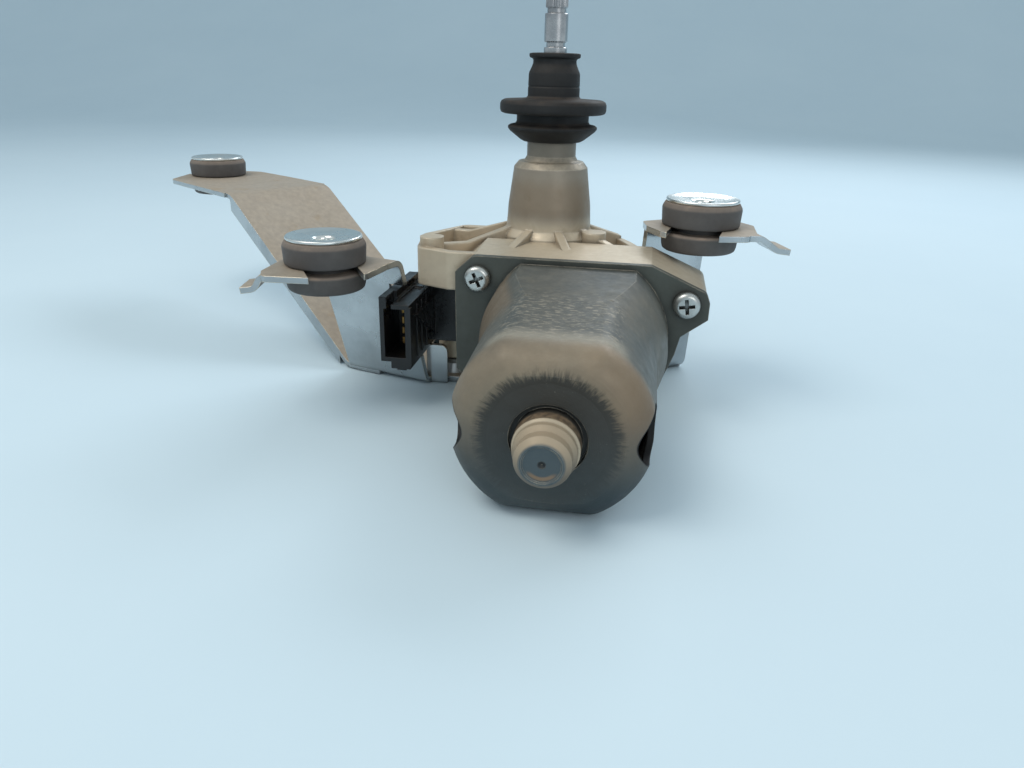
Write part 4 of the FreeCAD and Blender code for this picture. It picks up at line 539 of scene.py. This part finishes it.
# %% Housing material
def housing_material():
    material = bpy.data.materials.new("cast alloy")
    tree = tree_of(material)
    shader = node(tree, "BsdfPrincipled")
    wire(tree, shader.outputs[0], node(tree, "OutputMaterial").inputs[0])
    place = node(tree, "TexCoord").outputs["Object"]
    broad = effect(tree, "patches", Scale=28, Low=0.36, High=0.64)
    fine = effect(tree, "patches", Scale=420, Low=0.38, High=0.68)
    colour = mixed(tree, broad, paint(206, 191, 168), paint(184, 167, 143))
    colour = tinted(tree, colour, fine, (190, 176, 154), 0.3)
    # the tower is greyer than the block, and browner halfway down
    split = node(tree, "SeparateXYZ")
    wire(tree, place, split.inputs[0])
    height = split.outputs["Z"]
    tower = fade(tree, height, 57, 64)
    grey = mixed(tree, broad, paint(152, 142, 128), paint(136, 126, 112))
    belt = both(tree, fade(tree, height, 60, 66), fade(tree, height, 78, 72))
    grey = tinted(tree, grey, belt, (126, 106, 82), 0.5)
    colour = mixed(tree, tower, colour, grey)
    neck = fade(tree, height, 81.0, 82.5)
    colour = tinted(tree, colour, neck, (104, 98, 88), 0.5)
    stains = effect(tree, "patches", Scale=95, Low=0.58, High=0.72)
    colour = tinted(tree, colour, stains, (112, 96, 72), 0.35)
    rounded = effect(tree, "rounded", "Normal", Radius=1.0 * MM, Scale=1100,
                     Depth=0.04 * MM, Strength=0.6)
    # painted highlight with some wear along the rounded edges
    edge_highlight_and_wear = sums(tree, "MULTIPLY", rounded.node.outputs["Edge"], 0.6)
    colour = tinted(tree, colour, edge_highlight_and_wear, (214, 202, 182))
    dust = effect(tree, "dust", Amount=0.45, Scale=260)
    colour = tinted(tree, colour, dust, (196, 181, 156))
    # painted shade with some dirt where little sky reaches
    corners = effect(tree, "corners", Distance=4.0 * MM, Amount=0.7)
    colour = tinted(tree, colour, corners, (82, 66, 46))
    wire(tree, colour, shader.inputs["Base Color"])
    shader.inputs["Metallic"].default_value = 0.3
    wire(tree, sums(tree, "MULTIPLY_ADD", fine, 0.16, 0.38), shader.inputs["Roughness"])
    wire(tree, rounded, shader.inputs["Normal"])
    return material


FINISHES["housing_alloy"] = housing_material()
print("housing finish made")

# %% [markdown]
# ## Each solid gets the finish that its record names
# The record says which material slot every node uses, so a loop can dress the
# whole motor, inside and out.

# %% Dress the solids
slot_of = {entry["node"]: entry["material_slot"] for entry in frame["record"]["subparts"]}
for name, solid in frame["nodes"].items():
    solid.data.materials.clear()
    solid.data.materials.append(FINISHES[slot_of[name]])
print("dressed", len(slot_of), "solids")

# %% [markdown]
# ## Turned and moulded pieces
# A bushing, a washer, a seal and a shaft are all round, so half of their
# outline, spun once round an upright axis, gives the piece. The outlines hold
# the small roundings and lips that a plain solid leaves out.


# %% Spin a half outline
def lay_in(name, mesh_edit, body, slot, smooth=True):
    """Object from a finished bmesh, riding on a body, with its finish."""
    bmesh.ops.recalc_face_normals(mesh_edit, faces=mesh_edit.faces)
    mesh = bpy.data.meshes.new(name)
    mesh_edit.to_mesh(mesh)
    mesh_edit.free()
    piece = bpy.data.objects.new(name, mesh)
    scene.collection.objects.link(piece)
    mesh.materials.append(FINISHES[slot])
    if smooth:
        mesh.shade_smooth()
        mesh.set_sharp_from_angle(angle=math.radians(38))
    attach(piece, body)
    return piece


def spun(outline, x=0.0, y=0.0, steps=96):
    """Bmesh of a closed half outline of (radius, height) in millimetres, spun about Z."""
    made = bmesh.new()
    corners = [made.verts.new((r * MM, 0, z * MM)) for r, z in outline]
    for a, b in zip(corners, corners[1:] + corners[:1]):
        made.edges.new((a, b))
    bmesh.ops.spin(made, geom=made.verts[:] + made.edges[:], cent=(0, 0, 0), axis=(0, 0, 1),
                   angle=math.tau, steps=steps, use_merge=True)
    bmesh.ops.remove_doubles(made, verts=made.verts, dist=1e-7)
    bmesh.ops.translate(made, verts=made.verts, vec=(x * MM, y * MM, 0))
    return made


def softened(outline, amount=0.35):
    """The outline with each sharp corner cut to a small two-point rounding."""
    out = []
    count = len(outline)
    for k in range(count):
        before, here, after = (Vector(outline[(k + j) % count]) for j in (-1, 0, 1))
        a, b = before - here, after - here
        cut = min(amount, a.length * 0.4, b.length * 0.4)
        straight = a.normalized().dot(b.normalized()) < -0.97
        if straight or cut < 0.05:
            out.append(tuple(here))
            continue
        p, q = here + a.normalized() * cut, here + b.normalized() * cut
        middle = (p + q) * 0.5 * 0.4 + here * 0.6
        out += [tuple(p), tuple(middle), tuple(q)]
    return out


print("spin helper ready")

# %% [markdown]
# ## Bushings and their sleeves
# Each bushing is a thick rubber ring with a waist that the fork grips. Old
# rubber bulges between its edges. The sleeve's head is dished, with a rolled
# rim that catches the light.

# %% Bushings
# Half outlines, as radius and height in millimetres.
BUSHING = [(5.0, 0.0), (11.9, 0.0), (12.6, 0.5), (12.9, 1.6), (13.28, 5.3), (13.0, 5.9),
           (12.4, 6.25), (8.3, 6.3), (8.3, 8.5), (12.7, 8.5), (13.2, 8.8), (13.35, 9.5),
           (13.62, 14.2), (13.5, 14.9), (12.7, 16.3), (12.0, 16.6), (5.0, 16.6)]
SLEEVE = [(3.3, 0.0), (5.0, 0.0), (5.0, 17.0), (11.9, 17.0), (12.3, 17.2), (12.5, 17.6),
          (12.48, 18.0), (12.25, 18.3), (11.85, 18.4), (11.4, 18.28), (10.4, 17.9),
          (9.0, 17.55), (7.2, 17.36), (5.4, 17.36), (4.4, 17.3), (3.8, 17.05),
          (3.45, 16.6), (3.3, 16.0)]
for side in ("left", "right", "rear"):
    for kind, outline, slot in (("rubber_bushing_", BUSHING, "rubber_grey"),
                                ("bushing_sleeve_", SLEEVE, "bright_washer")):
        low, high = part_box(kind + side)
        middle = (low + high) / 2 / MM
        raised = [(r, z + low.z / MM) for r, z in softened(outline, 0.3)]
        piece = lay_in("new_" + kind + side, spun(raised, middle.x, middle.y), "base", slot)
        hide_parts(kind + side)
    print(side, "bushing at", [round(v, 1) for v in middle[:2]])

# %% [markdown]
# ## Shaft seal
# The seal plugs the hole in the tailgate: two flanges grip the sheet, and a
# thin lip at the top wipes the shaft.

# %% Seal
SEAL = [(8.8, 88.2), (10.2, 88.2), (11.4, 88.8), (15.2, 91.7), (15.9, 92.6), (15.9, 93.3),
        (15.2, 93.8), (13.3, 94.2), (12.8, 95.0), (12.8, 97.0), (13.2, 97.6), (17.6, 97.6),
        (18.5, 98.0), (18.8, 98.9), (18.8, 100.8), (18.3, 101.8), (17.2, 102.3), (11.6, 102.6),
        (9.6, 102.8), (9.1, 103.4), (9.1, 106.2), (8.95, 106.4), (8.95, 106.7), (9.05, 106.9),
        (8.95, 110.6), (8.8, 111.2), (8.0, 112.9), (7.6, 113.9), (7.5, 114.9), (7.7, 115.5),
        (8.7, 115.9), (8.9, 116.3), (8.9, 117.2), (7.8, 117.4), (5.4, 117.1),
        (4.3, 116.4), (4.05, 115.6), (4.05, 114.9), (5.2, 113.6), (6.2, 112.4), (6.2, 98.0),
        (8.8, 98.0)]
piece = lay_in("new_shaft_seal", spun(softened(SEAL, 0.2)), "base", "rubber_black")
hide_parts("shaft_seal")
print("seal faces", len(piece.data.polygons))

# %% [markdown]
# ## Output shaft
# The shaft is ground bright where the seal runs, then knurled for the arm's
# hub and threaded at the end. The knurl is a ring of ridges, and the thread is
# one small wedge spun many turns while it climbs.

# %% Shaft, knurl and thread
SHAFT = [(0.0, 8.3), (3.1, 8.3), (3.5, 8.7), (3.5, 8.9), (3.0, 8.9), (3.0, 9.6), (3.5, 9.6),
         (3.5, 13.1), (4.0, 13.1), (4.0, 96.05), (3.55, 96.05), (3.55, 97.05), (4.0, 97.05),
         (4.0, 119.0), (3.8, 119.21), (3.2, 119.21), (3.2, 120.8), (3.8, 120.8), (4.0, 121.0),
         (4.0, 129.6), (3.8, 129.8), (3.2, 129.8), (3.2, 131.4), (3.6, 131.4), (3.6, 139.4),
         (2.6, 140.4), (2.6, 149.2), (1.9, 150.0), (0.0, 150.0)]
KNURL_RADIUS, KNURL_LENGTH, KNURL_MIDDLE = 3.8 * MM, 8.0 * MM, 135.41 * MM
RIDGES, VALLEY = 30, 0.93  # the valleys lie at this share of the radius
THREAD_START, THREAD_ROOT, THREAD_TIP = 140.6, 2.5, 2.95
PITCH, TURNS, PER_TURN = 1.0, 8, 24
shaft = lay_in("new_output_shaft", spun(SHAFT), "output", "polished_steel")
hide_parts("output_shaft")

knurl = bmesh.new()
bmesh.ops.create_cone(knurl, cap_ends=True, segments=RIDGES * 2, radius1=KNURL_RADIUS,
                      radius2=KNURL_RADIUS, depth=KNURL_LENGTH)
for corner in knurl.verts:
    turn = math.atan2(corner.co.y, corner.co.x) / math.tau * RIDGES * 2
    if round(turn) % 2:
        corner.co.x *= VALLEY
        corner.co.y *= VALLEY
bmesh.ops.translate(knurl, verts=knurl.verts, vec=(0, 0, KNURL_MIDDLE))
rims = [e for e in knurl.edges if abs(e.verts[0].co.z - e.verts[1].co.z) < 1e-6]
bmesh.ops.bevel(knurl, geom=rims, offset=0.35 * MM, affect="EDGES", segments=1, profile=0.5,
                material=-1, clamp_overlap=True)
lay_in("shaft_knurl", knurl, "output", "polished_steel", smooth=False)

thread = bmesh.new()
wedge = [thread.verts.new((r * MM, 0, (THREAD_START + rise) * MM)) for r, rise in
         ((THREAD_ROOT, 0), (THREAD_TIP, 0.32), (THREAD_TIP, 0.48), (THREAD_ROOT, 0.8))]
for a, b in zip(wedge, wedge[1:] + wedge[:1]):
    thread.edges.new((a, b))
start = thread.faces.new(wedge)
bmesh.ops.spin(thread, geom=[start], cent=(0, 0, 0), axis=(0, 0, 1),
               dvec=(0, 0, PITCH * MM / PER_TURN), angle=math.tau * TURNS, steps=TURNS * PER_TURN)
lay_in("shaft_thread", thread, "output", "polished_steel")
print("thread turns", TURNS)

# %% [markdown]
# ## Connector
# The connector is all straight walls and steps, so it is laid out on a grid of
# cells. Each cell is plastic or air, a face goes wherever the two meet, and
# one bevel takes the sharpness off every edge, as a mould does.


# %% Connector from cells
# Boxes of the connector in millimetres: left and right, front and back, low and high.
PLASTIC = {
    "shroud": ((-50.2, -39.8), (-50.4, -14.0), (15.6, 38.3)),
    "key ridge": ((-50.2, -46.6), (-50.4, -14.0), (38.3, 40.7)),
    "latch": ((-45.2, -41.8), (-48.4, -42.4), (14.4, 15.8)),
    "base": ((-40.8, -25.96), (-22.2, -13.8), (17.2, 40.6)),
    "front frame": ((-39.8, -39.3), (-50.4, -48.6), (16.6, 37.4)),
    "front rib": ((-39.8, -39.3), (-42.0, -41.0), (17.6, 36.6)),
    "middle rib": ((-39.8, -39.3), (-36.0, -35.0), (17.6, 36.6)),
    "back rib": ((-39.8, -39.3), (-30.0, -29.0), (17.6, 36.6)),
}
AIR = {
    "corner notch": ((-50.2, -46.6), (-50.4, -14.0), (15.6, 18.0)),
    "slot": ((-47.6, -46.0), (-50.4, -41.4), (34.7, 40.7)),
    "mouth": ((-48.6, -41.4), (-50.4, -33.4), (19.6, 36.7)),
    "top recess": ((-45.2, -41.4), (-46.0, -25.0), (37.6, 38.3)),
}
ROUNDING = 0.22  # millimetres, on every edge
# A web under the shroud's right side: its two sides in X, its corners in Y and Z.
GUSSET_SIDES = (-40.6, -38.4)
GUSSET_CORNERS = ((-22.0, 20.0), (-46.0, 34.0), (-22.0, 34.0))


def holds(box, point):
    """Whether the point lies in the box."""
    return all(low < v < high for (low, high), v in zip(box, point))


def from_cells(solid, hollow):
    """Closed bmesh around the boxes of solid, less those of hollow."""
    made = bmesh.new()
    corners = {}
    boxes = list(solid.values()) + list(hollow.values())
    cuts = [sorted({edge for box in boxes for edge in box[axis]}) for axis in range(3)]

    def corner(*at):
        if at not in corners:
            corners[at] = made.verts.new([cuts[axis][k] * MM for axis, k in enumerate(at)])
        return corners[at]

    def filled(at):
        middle = [(cuts[axis][k] + cuts[axis][k + 1]) / 2 for axis, k in enumerate(at)]
        return (any(holds(box, middle) for box in solid.values())
                and not any(holds(box, middle) for box in hollow.values()))

    counts = [range(len(places) - 1) for places in cuts]
    cells = {at for at in itertools.product(*counts) if filled(at)}
    sides = {(1, 0, 0): ((1, 0, 0), (1, 1, 0), (1, 1, 1), (1, 0, 1)),
             (-1, 0, 0): ((0, 0, 0), (0, 0, 1), (0, 1, 1), (0, 1, 0)),
             (0, 1, 0): ((0, 1, 0), (0, 1, 1), (1, 1, 1), (1, 1, 0)),
             (0, -1, 0): ((0, 0, 0), (1, 0, 0), (1, 0, 1), (0, 0, 1)),
             (0, 0, 1): ((0, 0, 1), (1, 0, 1), (1, 1, 1), (0, 1, 1)),
             (0, 0, -1): ((0, 0, 0), (0, 1, 0), (1, 1, 0), (1, 0, 0))}
    for i, j, k in sorted(cells):
        for (a, b, c), ring in sides.items():
            if (i + a, j + b, k + c) not in cells:
                made.faces.new([corner(i + u, j + v, k + w) for u, v, w in ring])
    bmesh.ops.dissolve_limit(made, angle_limit=math.radians(2), verts=made.verts,
                             edges=made.edges)
    return made


connector = from_cells(PLASTIC, AIR)
sharp = [e for e in connector.edges if len(e.link_faces) == 2 and e.calc_face_angle() > 0.5]
bmesh.ops.bevel(connector, geom=sharp, offset=ROUNDING * MM, affect="EDGES", segments=2,
                profile=0.5, material=-1, clamp_overlap=True)
gusset = [connector.verts.new((x * MM, y * MM, z * MM)) for x in GUSSET_SIDES
          for y, z in GUSSET_CORNERS]
for face in ((0, 1, 2), (3, 5, 4), (0, 3, 4, 1), (1, 4, 5, 2), (2, 5, 3, 0)):
    connector.faces.new([gusset[k] for k in face])
piece = lay_in("new_connector_housing", connector, "base", "black_plastic", smooth=False)
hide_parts("connector_housing")
print("connector faces", len(piece.data.polygons))

# %% [markdown]
# ## Floor and light
# A plain pale floor stands in for the mat. A wide lamp above the left makes the
# shapes, one behind lights the rims, and a weak one in front and a pale world
# soften the shadows.

# %% Floor, world and lamps
# The floor runs back flat, then sweeps up in a quarter circle to a wall, in metres.
FLOOR_FRONT, FLOOR_BACK, SWEEP_RADIUS, WALL_TOP, HALF_WIDTH = -3.0, 1.2, 1.4, 4.0, 4.5
FLOOR_DROP = 0.0003  # keeps the floor clear of the part's underside
SWEEP_STEPS = 24
sweep = [(FLOOR_FRONT, 0.0), (FLOOR_BACK, 0.0)]
for k in range(1, SWEEP_STEPS + 1):
    rise = math.pi / 2 * k / SWEEP_STEPS
    sweep.append((FLOOR_BACK + SWEEP_RADIUS * math.sin(rise),
                  SWEEP_RADIUS - SWEEP_RADIUS * math.cos(rise)))
sweep.append((FLOOR_BACK + SWEEP_RADIUS, WALL_TOP))
floor = bmesh.new()
rows = [[floor.verts.new((x, y, z - FLOOR_DROP)) for y, z in sweep]
        for x in (-HALF_WIDTH, HALF_WIDTH)]
for k in range(len(sweep) - 1):
    floor.faces.new((rows[0][k], rows[1][k], rows[1][k + 1], rows[0][k + 1]))
floor_mesh = bpy.data.meshes.new("floor")
floor.to_mesh(floor_mesh)
floor.free()
floor_mesh.shade_smooth()
floor_piece = bpy.data.objects.new("floor", floor_mesh)
scene.collection.objects.link(floor_piece)
floor_finish = bpy.data.materials.new("pale floor")
tree = tree_of(floor_finish)
shader = node(tree, "BsdfPrincipled", Roughness=0.8)
wire(tree, shader.outputs[0], node(tree, "OutputMaterial").inputs[0])
wire(tree, mixed(tree, effect(tree, "patches", Scale=3, Low=0.3, High=0.7), paint(200, 218, 227),
                 paint(205, 222, 230)), shader.inputs["Base Color"])
floor_mesh.materials.append(floor_finish)

world = bpy.data.worlds.new("studio")
scene.world = world
world.use_nodes = True
tree = world.node_tree
tree.nodes.clear()
sky = node(tree, "Background", Strength=0.75)
sky.inputs["Color"].default_value = paint(214, 228, 236)
wire(tree, sky.outputs[0], node(tree, "OutputWorld").inputs[0])


def lamp(name, place, aim, size, watts, tint=(255, 255, 255)):
    light = bpy.data.lights.new(name, "AREA")
    light.shape = "RECTANGLE"
    light.size, light.size_y = size
    light.energy = watts
    light.color = paint(*tint)[:3]
    made = bpy.data.objects.new(name, light)
    scene.collection.objects.link(made)
    made.location = place
    made.rotation_euler = (Vector(aim) - Vector(place)).to_track_quat("-Z", "Y").to_euler()
    return made


lamp("key lamp", (-0.45, -0.35, 0.9), (0, 0, 0.04), (0.6, 0.5), 4.2, (255, 250, 242))
lamp("rim lamp", (0.35, 0.75, 0.7), (0, 0, 0.05), (0.9, 0.3), 4.5, (246, 250, 255))
lamp("front fill", (0.5, -0.8, 0.45), (0, 0, 0.04), (0.5, 0.5), 1.4)
print("lamps placed")
